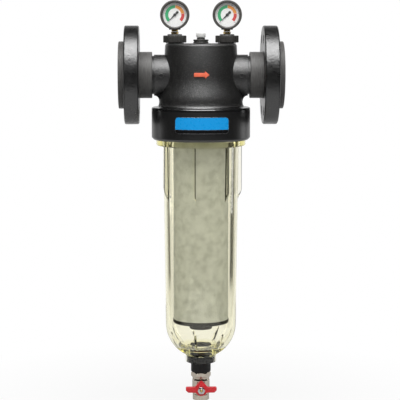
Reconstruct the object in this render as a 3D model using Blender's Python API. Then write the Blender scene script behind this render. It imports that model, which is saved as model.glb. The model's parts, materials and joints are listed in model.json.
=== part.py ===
"""Self cleaning filter with flanged ports, two dial gauges and a drain valve.

Units are metres and +Z is up. Heights named *_Z are measured from the pipe
axis, which runs along X. Water enters at -X and leaves at +X. The front, with
the label and the dials, faces -Y. The finished part stands on its drain valve:
the origin is on the vertical axis, level with the valve's lower end.
"""

import math

import bmesh
import bpy
from mathutils import Matrix, Vector

# Clearances
SEAT_GAP = 0.0003       # between pieces that seat face to face
SHAFT_FIT = 0.0003      # radial, round a shank, spigot or spindle
RING_PLAY = 0.0006      # radial, between a loose backing ring and its barrel
THREAD_PLAY = 0.0007    # radial, between the bowl's neck and the collar

# Pipe connection, DN 65
BORE_R = 0.0325
NIPPLE_R = 0.0382
NIPPLE_END = 0.0882         # from the vertical axis
RELIEF_R = 0.0360
RELIEF_LENGTH = 0.0035
THREAD_R = 0.0376           # 2 1/2 inch pipe thread
THREAD_LENGTH = 0.0220
TEST_BOSS_X = 0.0750
TEST_BOSS_R = 0.0046
TEST_BOSS_BORE_R = 0.0028
TEST_BOSS_PROUD = 0.0016
BARREL_R = 0.0434
FLANGE_FACE = 0.1547        # raised face, from the vertical axis
FACE_COLLAR_THICK = 0.0107
FACE_COLLAR_ROUND = 0.0015
FACE_TO_BOLT = 0.0005       # between the raised face's rim and the bolt holes
FLANGE_R = 0.0925
FLANGE_THICK = 0.0276
FLANGE_ROUND = 0.0030
BOLT_CIRCLE_INSET = 0.0200  # of the bolt circle, from the ring's rim
BOLT_HOLE_R = 0.0090
BOLT_COUNT = 8
PORT_SEAL_THICK = 0.0017

# Head
HEAD_R = 0.0673             # at the top of the body's cone
HEAD_TOP_Z = 0.0590
HEAD_ROUND = 0.0048
HEAD_WALL = 0.0093
ROOF_THICK = 0.0130
CUT_BEYOND = 0.0050         # of a cutting tool, past the face it opens
BELL_TOP_R = 0.0705         # where the cone turns into a bell
BELL_TOP_Z = -0.0120
BELL_R = 0.0787
BELL_Z = -0.0500
SHOULDER_R = 0.0798
SHOULDER_ROUND = 0.0065
WEB_ROUND = 0.0095          # hollow of the web under each nipple
WEB_HALF_THICK = 0.0090
COLLAR_WALL = 0.0104
COLLAR_TOP_Z = -0.0600
COLLAR_HEIGHT = 0.0608
COLLAR_ROUND = 0.0030
COLLAR_CHAMFER = 0.0040
LEDGE_Z = -0.0860           # the ledge that the bowl's seal presses on
CENTRE_TUBE_R = 0.0400
CENTRE_TUBE_END_Z = -0.0960
ELBOW_R = 0.0370            # bend of the outlet passage, on its centre line

# Marks on the front
ARROW_Z = 0.0023
ARROW_LENGTH = 0.0285
ARROW_SHAFT = 0.0072
ARROW_HEAD = 0.0140
ARROW_HEAD_LENGTH = 0.0084
ARROW_FOLDS = (-0.70, -0.35, 0.0, 0.75)  # where it bends, by its half length
ARROW_THICK = 0.0012
LABEL_HALF_ANGLE = math.radians(32.0)
LABEL_TOP_Z = -0.0744
LABEL_HEIGHT = 0.0303
LABEL_CORNER = 0.0070
LABEL_COLUMNS = 14          # flat facets across the bend
LABEL_THICK = 0.0006

# Filter element
ELEMENT_R = 0.0525
FELT_THICK = 0.0024
CAGE_WALL = 0.0025
ELEMENT_FLANGE_THICK = 0.0080
ELEMENT_SPIGOT_LENGTH = 0.0200
ELEMENT_BOTTOM_Z = -0.4650
ELEMENT_SPIGOT_WALL = 0.0055
END_SPIGOT_DEPTH = 0.0060
BASE_CAP_R = 0.0533
BASE_CAP_THICK = 0.0070
BASE_HUB_R = 0.0226
BASE_HUB_LENGTH = 0.0130
CAGE_BARS = 8
CAGE_COLUMNS_PER_BAR = 3    # one of them is the bar, the rest are window
CAGE_WINDOWS = 3
CAGE_HOOP = 0.0100
ELEMENT_SEAL_THICK = 0.0015
VANE_COUNT = 8
VANE_THICK = 0.0026
VANE_HUB_THICK = 0.0032
VANE_HEIGHT = 0.0330
VANE_TWIST = math.radians(48.0)

# Bowl
BOWL_NECK_INNER_R = 0.0670
BOWL_FLANGE_R = 0.0844
BOWL_FLANGE_PROUD = 0.0025      # of the flange, beyond the threaded neck
BOWL_FLANGE_THICK = 0.0107
BOWL_FLANGE_CHAMFER = 0.0010
BOWL_STEP_R = 0.0778
BOWL_STEP_HEIGHT = 0.0012
BOWL_TOP_R = 0.0715
BOWL_FOOT_R = 0.0672
BOWL_WALL = 0.0050
BOWL_DOME_Z = -0.4750       # centre of the rounded bottom
BOWL_FLOOR_DROP = 0.0420    # of the sump's flat floor, below that centre
BOWL_SEAL_THICK = 0.0020
BOWL_SEAL_WIDTH = 0.0100
BOWL_SEAL_INSET = 0.0020        # from the neck's outside
RIB_COUNT = 7
RIB_THICK = 0.0052
RIB_DRAFT = 0.0010
RIB_R = 0.0776
RIB_LENGTH = 0.0829
RIB_RUNOUT = 0.0220
RIB_RUNOUT_LEAN = 0.62          # share of the rib's height left half way out
RIB_PHASE = math.radians(40.4)  # one rib's place, from the front towards +X
FIN_DEPTH = 0.0090
OUTLET_BOSS_R = 0.0292
OUTLET_BOSS_DROP = 0.0750   # of the boss's foot, below that centre
COUNTERBORE_DEPTH = 0.0130

# Drain bushing and ball valve
BUSHING_SHANK_R = 0.0209    # 1 1/4 inch pipe thread
BUSHING_SUNK = 0.0010       # of the shank's top, below the sump's floor
BUSHING_FLANGE_R = 0.0262
BUSHING_BODY_R = 0.0190
BUSHING_BODY_LENGTH = 0.0203
BUSHING_ROUND = 0.0020
DRAIN_GASKET_THICK = 0.0012
DRAIN_BORE_R = 0.0080
VALVE_SPIGOT_R = 0.0130
VALVE_SPIGOT_LENGTH = 0.0140
VALVE_HEX_ACROSS_FLATS = 0.0330
VALVE_HEX_HEIGHT = 0.0100
VALVE_R = 0.0167
VALVE_AXIS_DROP = 0.0280    # handle axis below the hexagon's top
VALVE_BODY_LENGTH = 0.0430
VALVE_END_R = 0.0158
VALVE_END_LENGTH = 0.0114
VALVE_OUTLET_R = 0.0095
VALVE_OUTLET_DEPTH = 0.0090
VALVE_OUTLET_CONE = 0.0015
VALVE_CAVITY_R = 0.0128
BALL_R = 0.0124
SEAT_REACH = 0.0110
SEAT_LIP_ANGLE = math.radians(44.0)     # of the seats' cones, from the ball's middle
BALL_FIT = 0.0004           # radial, between ball and seats
STEM_R = 0.0039
STEM_BLADE_HALF = 0.0013
STEM_FLAT_HALF = 0.0028
BALL_SLOT_DEPTH = 0.0030
STEM_BOSS_R = 0.0092
STEM_BORE_START = 0.0050    # from the valve's axis, inside its bore
STEM_BOSS_REACH = 0.0255
PACKING_R = 0.0064
PACKING_LENGTH = 0.0032
PACKING_START = 0.0180
GLAND_HEX_R = 0.0092
GLAND_HEX_HEIGHT = 0.0038
HANDLE_THICK = 0.0080
HANDLE_HALF_SPAN = 0.0295
HANDLE_WING_HEIGHT = 0.0110
HANDLE_HUB_R = 0.0120
HANDLE_PEAK = 0.0180
HANDLE_NECK_X = 0.0086       # where a wing meets the peak
HANDLE_NECK_Z = 0.0096
HANDLE_HUB_START = 0.0108    # where a wing meets the hub's round underside
HANDLE_BEVEL = 0.0045
STUD_R = 0.0026
STUD_LENGTH = 0.0058
HANDLE_NUT_R = 0.0073
HANDLE_NUT_HEIGHT = 0.0045

# Gauges
GAUGE_X = 0.0490
GAUGE_Z = 0.1123
PLUG_R = 0.0202
PLUG_LOBE = 0.0018
PLUG_LOBES = 6
PLUG_HEIGHT = 0.0131
PLUG_NECK_R = 0.0138
PLUG_NECK_HEIGHT = 0.0025
PLUG_SHANK_R = 0.0120
PLUG_SHANK_LENGTH = 0.0125
PLUG_SEAL_R = 0.0170
PLUG_SEAL_THICK = 0.0012
TAPPING_R = 0.0030
TAPPING_COLUMN_R = 0.0076
STEM_HEX_R = 0.0070
STEM_HEX_HEIGHT = 0.0043
GAUGE_SHANK_R = 0.0055
GAUGE_SHANK_LENGTH = 0.0200
GAUGE_PORT_R = 0.0016
CASE_R = 0.0254
CASE_WALL = 0.0018
CASE_FRONT = 0.0090         # towards the front, from the stem's axis
CASE_BACK = 0.0130
CASE_NECK_R = 0.0062
CASE_LUG_WIDTH = 0.0216
CASE_LUG_BOTTOM_Z = 0.0847
DIAL_SET_BACK = 0.0030
DIAL_THICK = 0.0008
LENS_THICK = 0.0015
BEZEL_R = 0.0275
BEZEL_LIP_R = 0.0225
BEZEL_LIP_THICK = 0.0024
BEZEL_SKIRT = 0.0045
BEZEL_EDGE = 0.0012
ARBOR_R = 0.0010
ARBOR_LENGTH = 0.0060
BEARING_POST_R = 0.0040
POINTER_TIP = 0.0188
POINTER_HALF = 0.0009
POINTER_TAIL = 0.0087
POINTER_TAIL_HALF = 0.0022
POINTER_WAIST = 0.0025       # where the arms leave the hub
POINTER_TAIL_START = 0.0054  # of the tail's wide end
POINTER_THICK = 0.0006
POINTER_HUB_R = 0.0028
POINTER_LIFT = 0.0008       # in front of the dial
POINTER_ZERO = math.radians(-135.0)

# Air bleed
BLEED_BASE_R = 0.0144
BLEED_BASE_HEIGHT = 0.0072
BLEED_WAIST = 0.0006
BLEED_NECK_R = 0.0077
BLEED_NECK_HEIGHT = 0.0037
BLEED_SHANK_R = 0.0080
BLEED_SHANK_LENGTH = 0.0110
BLEED_KNOB_R = 0.0087
BLEED_KNOB_HEIGHT = 0.0079
BLEED_SCREW_R = 0.0040
BLEED_SCREW_LENGTH = 0.0150
BLEED_SEAL_R = 0.0060
BLEED_SEAL_THICK = 0.0015

# Facets round a full turn
LARGE = 32
MEDIUM = 24
SMALL = 16
TINY = 12

# Heights that follow from the sizes above
COLLAR_BOTTOM_Z = COLLAR_TOP_Z - COLLAR_HEIGHT
ROOF_Z = HEAD_TOP_Z - ROOF_THICK
CHAMBER_R = HEAD_R - HEAD_WALL
BOLT_CIRCLE_R = FLANGE_R - BOLT_CIRCLE_INSET
FACE_COLLAR_R = BOLT_CIRCLE_R - BOLT_HOLE_R - FACE_TO_BOLT
BOWL_NECK_R = BOWL_FLANGE_R - BOWL_FLANGE_PROUD
COLLAR_BORE_R = BOWL_NECK_R + THREAD_PLAY
COLLAR_R = COLLAR_BORE_R + COLLAR_WALL
BOWL_RIM_Z = LEDGE_Z - BOWL_SEAL_THICK - 2 * SEAT_GAP
BOWL_FLANGE_Z = COLLAR_BOTTOM_Z - SEAT_GAP
BOWL_STEP_Z = BOWL_FLANGE_Z - BOWL_FLANGE_THICK
BOWL_WALL_Z = BOWL_STEP_Z - BOWL_STEP_HEIGHT
ELEMENT_TOP_Z = CENTRE_TUBE_END_Z - ELEMENT_SEAL_THICK - 2 * SEAT_GAP
FELT_TOP_Z = ELEMENT_TOP_Z - ELEMENT_FLANGE_THICK - SEAT_GAP
FELT_BOTTOM_Z = ELEMENT_BOTTOM_Z + SEAT_GAP
CAGE_R = ELEMENT_R - FELT_THICK - SHAFT_FIT
CAGE_BORE_R = CAGE_R - CAGE_WALL
BOWL_FLOOR_Z = BOWL_DOME_Z - BOWL_FLOOR_DROP
OUTLET_BOSS_Z = BOWL_DOME_Z - OUTLET_BOSS_DROP
COUNTERBORE_Z = OUTLET_BOSS_Z + COUNTERBORE_DEPTH
BUSHING_TOP_Z = COUNTERBORE_Z - DRAIN_GASKET_THICK - 2 * SEAT_GAP
BUSHING_END_Z = OUTLET_BOSS_Z - BUSHING_BODY_LENGTH
VALVE_TOP_Z = BUSHING_END_Z - SEAT_GAP
VALVE_Z = VALVE_TOP_Z - VALVE_AXIS_DROP
VALVE_BODY_END_Z = VALVE_TOP_Z - VALVE_BODY_LENGTH
VALVE_END_TOP_Z = VALVE_BODY_END_Z - SEAT_GAP
VALVE_BOTTOM_Z = VALVE_END_TOP_Z - VALVE_END_LENGTH
PIPE_AXIS_HEIGHT = -VALVE_BOTTOM_Z
BALL_SLOT_FLOOR = BALL_R - BALL_SLOT_DEPTH
HANDLE_BACK = STEM_BOSS_REACH + GLAND_HEX_HEIGHT + 2 * SEAT_GAP
HANDLE_FRONT = HANDLE_BACK + HANDLE_THICK
BARREL_START = NIPPLE_END + RELIEF_LENGTH
THREAD_END = BARREL_START + THREAD_LENGTH
SOCKET_END = THREAD_END + PORT_SEAL_THICK + 2 * SEAT_GAP
PLUG_BOTTOM_Z = HEAD_TOP_Z + PLUG_SEAL_THICK + 2 * SEAT_GAP
PLUG_TOP_Z = PLUG_BOTTOM_Z + PLUG_HEIGHT
PLUG_NECK_TOP_Z = PLUG_TOP_Z + PLUG_NECK_HEIGHT
STEM_BASE_Z = PLUG_NECK_TOP_Z + SEAT_GAP
STEM_TOP_Z = STEM_BASE_Z + STEM_HEX_HEIGHT
CAGE_COLUMNS = CAGE_BARS * CAGE_COLUMNS_PER_BAR
END_SPIGOT_R = CAGE_BORE_R * math.cos(math.pi / CAGE_COLUMNS) - SHAFT_FIT
POST_FRONT = CASE_FRONT - DIAL_SET_BACK
DIAL_BACK = POST_FRONT + SEAT_GAP
DIAL_FRONT = DIAL_BACK + DIAL_THICK
LENS_BACK = CASE_FRONT + SEAT_GAP
LENS_FRONT = LENS_BACK + LENS_THICK
BEZEL_LIP_BACK = LENS_FRONT + SEAT_GAP
BEZEL_BACK = BEZEL_LIP_BACK - BEZEL_SKIRT
CASE_LUG_HALF_DEPTH = BEZEL_BACK - SEAT_GAP
BLEED_BASE_Z = HEAD_TOP_Z + SEAT_GAP
BLEED_NECK_TOP_Z = BLEED_BASE_Z + BLEED_BASE_HEIGHT + BLEED_NECK_HEIGHT

# Turns that lay a shape made about Z along another axis
ALONG_X = Matrix.Rotation(math.radians(90.0), 4, "Y")
ALONG_MINUS_X = Matrix.Rotation(math.radians(-90.0), 4, "Y")
TO_FRONT = Matrix.Rotation(math.radians(90.0), 4, "X")


def clear_scene():
    """Remove whatever the file holds."""
    for obj in list(bpy.data.objects):
        bpy.data.objects.remove(obj, do_unlink=True)


def make_material(name, colour, roughness, metallic=0.0, alpha=1.0):
    """A Principled material with one colour."""
    mat = bpy.data.materials.new(name)
    mat.use_nodes = True
    shader = mat.node_tree.nodes["Principled BSDF"]
    shader.inputs["Base Color"].default_value = (*colour, 1.0)
    shader.inputs["Roughness"].default_value = roughness
    shader.inputs["Metallic"].default_value = metallic
    shader.inputs["Alpha"].default_value = alpha
    mat.diffuse_color = (*colour, alpha)
    return mat


def make_empty(name, location, parent=None):
    """A parent that marks a joint's axis or the pipe's."""
    empty = bpy.data.objects.new(name, None)
    bpy.context.scene.collection.objects.link(empty)
    empty.location = location
    empty.parent = parent
    return empty


def make_object(name, bm, mat, parent, location=(0.0, 0.0, 0.0)):
    """Turn a bmesh into a named object, shaded smooth between sharp edges."""
    bmesh.ops.recalc_face_normals(bm, faces=bm.faces)
    mesh = bpy.data.meshes.new(name)
    bm.to_mesh(mesh)
    bm.free()
    mesh.shade_smooth()
    mesh.set_sharp_from_angle(angle=math.radians(32.0))
    if mat is not None:
        mesh.materials.append(mat)
    obj = bpy.data.objects.new(name, mesh)
    bpy.context.scene.collection.objects.link(obj)
    obj.parent = parent
    obj.location = location
    return obj


def as_tool(obj):
    """Mark an object as a helper of a Boolean, not a piece of the part."""
    obj.hide_render = True
    obj.display_type = "WIRE"
    return obj


def combine(target, tool, operation):
    """Cut a tool from an object, or join it on."""
    as_tool(tool)
    mod = target.modifiers.new(operation.lower() + "_" + tool.name, "BOOLEAN")
    mod.operation = operation
    mod.solver = "EXACT"
    mod.object = tool


def fillet(points, steps=2):
    """Replace each (r, z, radius) corner of a closed profile by an arc."""
    rounded = []
    count = len(points)
    for index, point in enumerate(points):
        corner = Vector(point[:2])
        radius = point[2] if len(point) == 3 else 0.0
        if radius == 0.0:
            rounded.append(tuple(corner))
            continue
        before = (Vector(points[index - 1][:2]) - corner).normalized()
        after = (Vector(points[(index + 1) % count][:2]) - corner).normalized()
        half = before.angle(after) / 2
        centre = corner + (before + after).normalized() * radius / math.sin(half)
        start = corner + before * radius / math.tan(half) - centre
        end = corner + after * radius / math.tan(half) - centre
        turn = start.angle_signed(end)
        for step in range(steps + 1):
            arm = start.copy()
            arm.rotate(Matrix.Rotation(-turn * step / steps, 2))
            rounded.append(tuple(centre + arm))
    return rounded


def arc(centre_r, centre_z, radius, start_deg, end_deg, steps):
    """Points on an arc in the (r, z) plane, angles from +r towards +z."""
    points = []
    for step in range(steps + 1):
        angle = math.radians(start_deg + (end_deg - start_deg) * step / steps)
        points.append((centre_r + radius * math.cos(angle),
                       centre_z + radius * math.sin(angle)))
    return points


def turned(profile, facets, phase=0.0):
    """Spin a closed profile of (r, z) points about Z."""
    bm = bmesh.new()
    ring = [bm.verts.new((r, 0.0, z)) for r, z in profile]
    edges = []
    for index, vert in enumerate(ring):
        other = ring[(index + 1) % len(ring)]
        on_axis = vert.co.x < 1e-9 and other.co.x < 1e-9
        if not on_axis:
            edges.append(bm.edges.new((vert, other)))
    bmesh.ops.rotate(bm, verts=bm.verts, matrix=Matrix.Rotation(phase, 3, "Z"))
    bmesh.ops.spin(bm, geom=ring + edges, axis=(0, 0, 1), cent=(0, 0, 0),
                   angle=2 * math.pi, steps=facets, use_merge=True)
    bmesh.ops.remove_doubles(bm, verts=bm.verts, dist=1e-6)
    return bm


def turned_object(name, profile, facets, mat, parent, location=(0, 0, 0), turn=None,
                  phase=0.0):
    """A turned piece, laid along another axis if a turn is given."""
    bm = turned(profile, facets, phase)
    if turn is not None:
        bm.transform(turn)
    return make_object(name, bm, mat, parent, location)


def tube_profile(inner_r, outer_r, low, high):
    """A plain ring's section."""
    return [(inner_r, high), (outer_r, high), (outer_r, low), (inner_r, low)]


def rod_profile(radius, low, high):
    """A plain rod's section."""
    return [(0.0, high), (radius, high), (radius, low), (0.0, low)]


def prism(outline, low, high):
    """Extrude a closed outline of (x, y) points from one height to another."""
    bm = bmesh.new()
    floor = bm.faces.new([bm.verts.new((x, y, low)) for x, y in outline])
    grown = bmesh.ops.extrude_face_region(bm, geom=[floor], use_keep_orig=True)
    lifted = [item for item in grown["geom"] if isinstance(item, bmesh.types.BMVert)]
    bmesh.ops.translate(bm, verts=lifted, vec=(0.0, 0.0, high - low))
    return bm


def swept_star(outline, bore_r, low, high, twist, levels):
    """Extrude an outline round a bore, turning it steadily on the way up."""
    bm = bmesh.new()
    rows = []
    for level in range(levels + 1):
        share = level / levels
        turn = Matrix.Rotation(twist * share, 3, "Z")
        height = Vector((0.0, 0.0, low + (high - low) * share))
        outer = [bm.verts.new(turn @ Vector((x, y, 0.0)) + height) for x, y in outline]
        inner = []
        for x, y in outline:
            spoke = Vector((x, y, 0.0)).normalized() * bore_r
            inner.append(bm.verts.new(turn @ spoke + height))
        rows.append((outer, inner))
    count = len(outline)
    for index in range(count):
        after = (index + 1) % count
        for (outer, inner), (outer_up, inner_up) in zip(rows, rows[1:]):
            bm.faces.new((outer[index], outer[after], outer_up[after], outer_up[index]))
            bm.faces.new((inner[after], inner[index], inner_up[index], inner_up[after]))
        outer, inner = rows[0]
        bm.faces.new((outer[after], outer[index], inner[index], inner[after]))
        outer, inner = rows[-1]
        bm.faces.new((outer[index], outer[after], inner[after], inner[index]))
    return bm


def hexagon(corner_r):
    """A hexagon's corners and the middles of its flats, in order."""
    flat_r = corner_r * math.cos(math.radians(30.0))
    points = []
    for index in range(12):
        angle = math.radians(30.0 * index)
        radius = flat_r if index % 2 else corner_r
        points.append((radius * math.cos(angle), radius * math.sin(angle)))
    return points


def flange_bolt_angles():
    """The holes straddle the centre lines, as on any pipe flange."""
    pitch = 2 * math.pi / BOLT_COUNT
    return [pitch * (index + 0.5) for index in range(BOLT_COUNT)]


def head_wall_r(z):
    """Radius of the body's cone at a height."""
    share = (HEAD_TOP_Z - z) / (HEAD_TOP_Z - BELL_TOP_Z)
    return HEAD_R + (BELL_TOP_R - HEAD_R) * share


def head_profile():
    """Half section of the head's outside, closed along the axis."""
    drop = BELL_TOP_Z - BELL_Z
    sweep = 2 * math.atan((BELL_R - BELL_TOP_R) / drop)
    bend = drop / math.sin(sweep)
    bell = arc(BELL_TOP_R + bend, BELL_TOP_Z, bend, 180.0, 180.0 + math.degrees(sweep), 3)
    outside = [(0.0, HEAD_TOP_Z), (HEAD_R, HEAD_TOP_Z, HEAD_ROUND)]
    outside += bell
    outside += [
        (SHOULDER_R, COLLAR_TOP_Z, SHOULDER_ROUND),
        (COLLAR_R, COLLAR_TOP_Z, COLLAR_ROUND),
        (COLLAR_R, COLLAR_BOTTOM_Z + COLLAR_CHAMFER),
        (COLLAR_R - COLLAR_CHAMFER, COLLAR_BOTTOM_Z),
        (0.0, COLLAR_BOTTOM_Z),
    ]
    return fillet(outside)


def chamber_profile():
    """The inlet chamber round the centre tube, and the collar's bore below."""
    below = COLLAR_BOTTOM_Z - CUT_BEYOND
    return [
        (CENTRE_TUBE_R, ROOF_Z),
        (CHAMBER_R, ROOF_Z),
        (CHAMBER_R, LEDGE_Z),
        (COLLAR_BORE_R, LEDGE_Z),
        (COLLAR_BORE_R, below),
        (0.0, below),
        (0.0, CENTRE_TUBE_END_Z),
        (CENTRE_TUBE_R, CENTRE_TUBE_END_Z),
    ]


def nipple_profile(start):
    """A port's outside, from inside the head's wall to the thread's end."""
    return [
        (0.0, start),
        (NIPPLE_R, start),
        (NIPPLE_R, NIPPLE_END),
        (RELIEF_R, NIPPLE_END),
        (RELIEF_R, BARREL_START),
        (THREAD_R, BARREL_START),
        (THREAD_R, THREAD_END),
        (0.0, THREAD_END),
    ]


def nipple_web(sign):
    """The web that rounds the corner between a nipple's underside and the bell."""
    middle_z = -NIPPLE_R - WEB_ROUND
    outline = [(CHAMBER_R + HEAD_WALL / 2, middle_z), (CHAMBER_R + HEAD_WALL / 2, -BORE_R),
               (NIPPLE_END, -BORE_R)]
    outline += arc(NIPPLE_END, middle_z, WEB_ROUND, 90.0, 180.0, 4)
    outline = [(sign * x, z) for x, z in outline]
    bm = prism(outline, -WEB_HALF_THICK, WEB_HALF_THICK)
    bm.transform(TO_FRONT)
    return bm


def elbow_passage(facets):
    """The outlet bore: up the centre tube, round a bend and out along +X."""
    bm = bmesh.new()
    beyond = THREAD_END + CUT_BEYOND
    path = [((0.0, COLLAR_BOTTOM_Z), 90.0)]
    for x, z in arc(ELBOW_R, -ELBOW_R, ELBOW_R, 180.0, 90.0, 5):
        tangent = math.degrees(math.atan2(ELBOW_R - x, z + ELBOW_R))
        path.append(((x, z), tangent))
    path.append(((beyond, 0.0), 0.0))
    rings = []
    for (x, z), tangent in path:
        lean = math.radians(tangent - 90.0)
        frame = Matrix.Translation((x, 0.0, z)) @ Matrix.Rotation(-lean, 4, "Y")
        ring = bmesh.ops.create_circle(bm, segments=facets, radius=BORE_R, matrix=frame)
        rings.append(ring["verts"])
    for lower, upper in zip(rings, rings[1:]):
        for index in range(facets):
            after = (index + 1) % facets
            bm.faces.new((lower[index], lower[after], upper[after], upper[index]))
    bm.faces.new(rings[0])
    bm.faces.new(rings[-1])
    return bm


def build_head(mat, parent):
    """The moulded head: body, collar, two ports, centre tube and tappings."""
    head = make_object("head", turned(head_profile(), LARGE), mat, parent)
    inlet = turned_object("tool_inlet_nipple", nipple_profile(CHAMBER_R - 0.008), MEDIUM,
                          None, parent, turn=ALONG_MINUS_X)
    combine(head, inlet, "UNION")
    for side, sign in (("inlet", -1.0), ("outlet", 1.0)):
        combine(head, make_object(f"tool_{side}_web", nipple_web(sign), None, parent), "UNION")
    chamber = turned_object("tool_chamber", chamber_profile(), LARGE, None, parent)
    combine(head, chamber, "DIFFERENCE")
    outlet = turned_object("tool_outlet_nipple", nipple_profile(0.0), MEDIUM, None, parent,
                           turn=ALONG_X)
    combine(head, outlet, "UNION")
    tapping_column = turned_object(
        "tool_tapping_column", rod_profile(TAPPING_COLUMN_R, BORE_R, ROOF_Z + 0.002), TINY,
        None, parent, (GAUGE_X, 0.0, 0.0))
    combine(head, tapping_column, "UNION")
    for side, sign in (("inlet", -1.0), ("outlet", 1.0)):
        boss = turned_object(
            "tool_test_boss_" + side,
            tube_profile(TEST_BOSS_BORE_R, TEST_BOSS_R, BORE_R + 0.003,
                         NIPPLE_R + TEST_BOSS_PROUD), TINY,
            None, parent, (sign * TEST_BOSS_X, 0.0, 0.0), TO_FRONT)
        combine(head, boss, "UNION")
    combine(head, make_object("cut_outlet_bore", elbow_passage(MEDIUM), None, parent),
            "DIFFERENCE")
    inlet_bore = turned_object(
        "cut_inlet_bore", rod_profile(BORE_R, CHAMBER_R - 0.011, THREAD_END + CUT_BEYOND), MEDIUM,
        None, parent, turn=ALONG_MINUS_X, phase=math.pi / MEDIUM)
    combine(head, inlet_bore, "DIFFERENCE")
    for side, sign in (("inlet", -1.0), ("outlet", 1.0)):
        socket = turned_object(
            "cut_plug_socket_" + side,
            rod_profile(PLUG_SHANK_R + SHAFT_FIT, ROOF_Z - 0.001, HEAD_TOP_Z + CUT_BEYOND), SMALL,
            None, parent, (sign * GAUGE_X, 0.0, 0.0))
        combine(head, socket, "DIFFERENCE")
    tapping = turned_object("cut_tapping", rod_profile(TAPPING_R, BORE_R - 0.008, ROOF_Z + 0.002),
                            TINY, None, parent, (GAUGE_X, 0.0, 0.0))
    combine(head, tapping, "DIFFERENCE")
    bleed = turned_object(
        "cut_bleed_socket",
        rod_profile(BLEED_SHANK_R + SHAFT_FIT, BORE_R + 0.006, HEAD_TOP_Z + CUT_BEYOND), SMALL,
        None, parent)
    combine(head, bleed, "DIFFERENCE")
    return head


def build_label(mat, parent):
    """A thin plate bent round the collar, with rounded corners."""
    inner_r = COLLAR_R + SEAT_GAP
    half_width = LABEL_HALF_ANGLE * inner_r
    middle_z = LABEL_TOP_Z - LABEL_HEIGHT / 2
    corners = []
    for x_sign, z_sign, start in ((1, 1, 0), (-1, 1, 90), (-1, -1, 180), (1, -1, 270)):
        corners += arc(x_sign * (half_width - LABEL_CORNER),
                       z_sign * (LABEL_HEIGHT / 2 - LABEL_CORNER),
                       LABEL_CORNER, start, start + 90, 3)
    bm = prism(corners, 0.0, LABEL_THICK)
    columns = LABEL_COLUMNS
    for column in range(1, columns):
        place = -half_width + 2 * half_width * column / columns
        geom = list(bm.verts) + list(bm.edges) + list(bm.faces)
        bmesh.ops.bisect_plane(bm, geom=geom, dist=1e-7, plane_co=(place, 0, 0),
                               plane_no=(1, 0, 0))
    for vert in bm.verts:
        angle = vert.co.x / inner_r
        radius = inner_r + vert.co.z
        vert.co = Vector((radius * math.sin(angle), -radius * math.cos(angle),
                          middle_z + vert.co.y))
    return make_object("label_plate", bm, mat, parent)


def build_arrow(mat, parent):
    """The flow arrow on the front of the head, pointing at the outlet."""
    half = ARROW_LENGTH / 2
    neck = half - ARROW_HEAD_LENGTH
    outline = [(-half, -ARROW_SHAFT / 2), (neck, -ARROW_SHAFT / 2), (neck, -ARROW_HEAD / 2),
               (half, 0.0), (neck, ARROW_HEAD / 2), (neck, ARROW_SHAFT / 2),
               (-half, ARROW_SHAFT / 2)]
    bm = prism(outline, 0.0, ARROW_THICK)
    for share in ARROW_FOLDS:
        place = half * share
        geom = list(bm.verts) + list(bm.edges) + list(bm.faces)
        bmesh.ops.bisect_plane(bm, geom=geom, dist=1e-7, plane_co=(place, 0, 0),
                               plane_no=(1, 0, 0))
    for vert in bm.verts:
        height = ARROW_Z + vert.co.y
        radius = head_wall_r(height) + SEAT_GAP + vert.co.z
        depth = math.sqrt(radius ** 2 - vert.co.x ** 2)
        vert.co = Vector((vert.co.x, -depth, height))
    return make_object("flow_arrow", bm, mat, parent)


def build_stub(side, turn, mat, parent):
    """A plastic stub: threaded socket, barrel and raised face."""
    collar_back = FLANGE_FACE - FACE_COLLAR_THICK
    socket_r = THREAD_R + SHAFT_FIT
    profile = fillet([
        (BARREL_R, BARREL_START),
        (BARREL_R, collar_back),
        (FACE_COLLAR_R, collar_back, FACE_COLLAR_ROUND),
        (FACE_COLLAR_R, FLANGE_FACE, FACE_COLLAR_ROUND),
        (BORE_R, FLANGE_FACE),
        (BORE_R, SOCKET_END),
        (socket_r, SOCKET_END),
        (socket_r, BARREL_START),
    ], steps=1)
    return turned_object(side + "_stub", profile, MEDIUM, mat, parent, turn=turn)


def build_port_seal(side, turn, mat, parent):
    """The washer that the threaded port presses against in its socket."""
    start = THREAD_END + SEAT_GAP
    profile = tube_profile(BORE_R + SHAFT_FIT, THREAD_R, start, start + PORT_SEAL_THICK)
    return turned_object(side + "_port_seal", profile, MEDIUM, mat, parent, turn=turn)


def build_backing_ring(side, turn, mat, parent):
    """A loose flange ring behind the raised face, drilled for the bolts."""
    outer = FLANGE_FACE - FACE_COLLAR_THICK - SEAT_GAP
    inner = outer - FLANGE_THICK
    bore_r = BARREL_R + RING_PLAY
    profile = fillet([
        (bore_r, outer),
        (FLANGE_R, outer, FLANGE_ROUND),
        (FLANGE_R, inner, FLANGE_ROUND),
        (bore_r, inner),
    ], steps=1)
    ring = turned_object(side + "_backing_ring", profile, LARGE, mat, parent, turn=turn)
    for index, angle in enumerate(flange_bolt_angles()):
        spot = (BOLT_CIRCLE_R * math.cos(angle), BOLT_CIRCLE_R * math.sin(angle))
        bm = turned(rod_profile(BOLT_HOLE_R, inner - CUT_BEYOND, outer + CUT_BEYOND), TINY)
        bmesh.ops.translate(bm, verts=bm.verts, vec=(*spot, 0.0))
        bm.transform(turn)
        hole = make_object(f"cut_{side}_bolt_{index + 1}", bm, None, parent)
        combine(ring, hole, "DIFFERENCE")
    return ring


def vane_outline(hub_r, tip_r):
    """A hub circle with one straight vane at every step."""
    points = []
    pitch = 2 * math.pi / VANE_COUNT
    for vane in range(VANE_COUNT):
        middle = pitch * vane
        for radius, side in ((hub_r, -1), (tip_r, -1), (tip_r, 1), (hub_r, 1)):
            angle = middle + side * VANE_THICK / 2 / radius
            points.append((radius * math.cos(angle), radius * math.sin(angle)))
        between = middle + pitch / 2
        points.append((hub_r * math.cos(between), hub_r * math.sin(between)))
    return points


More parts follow.
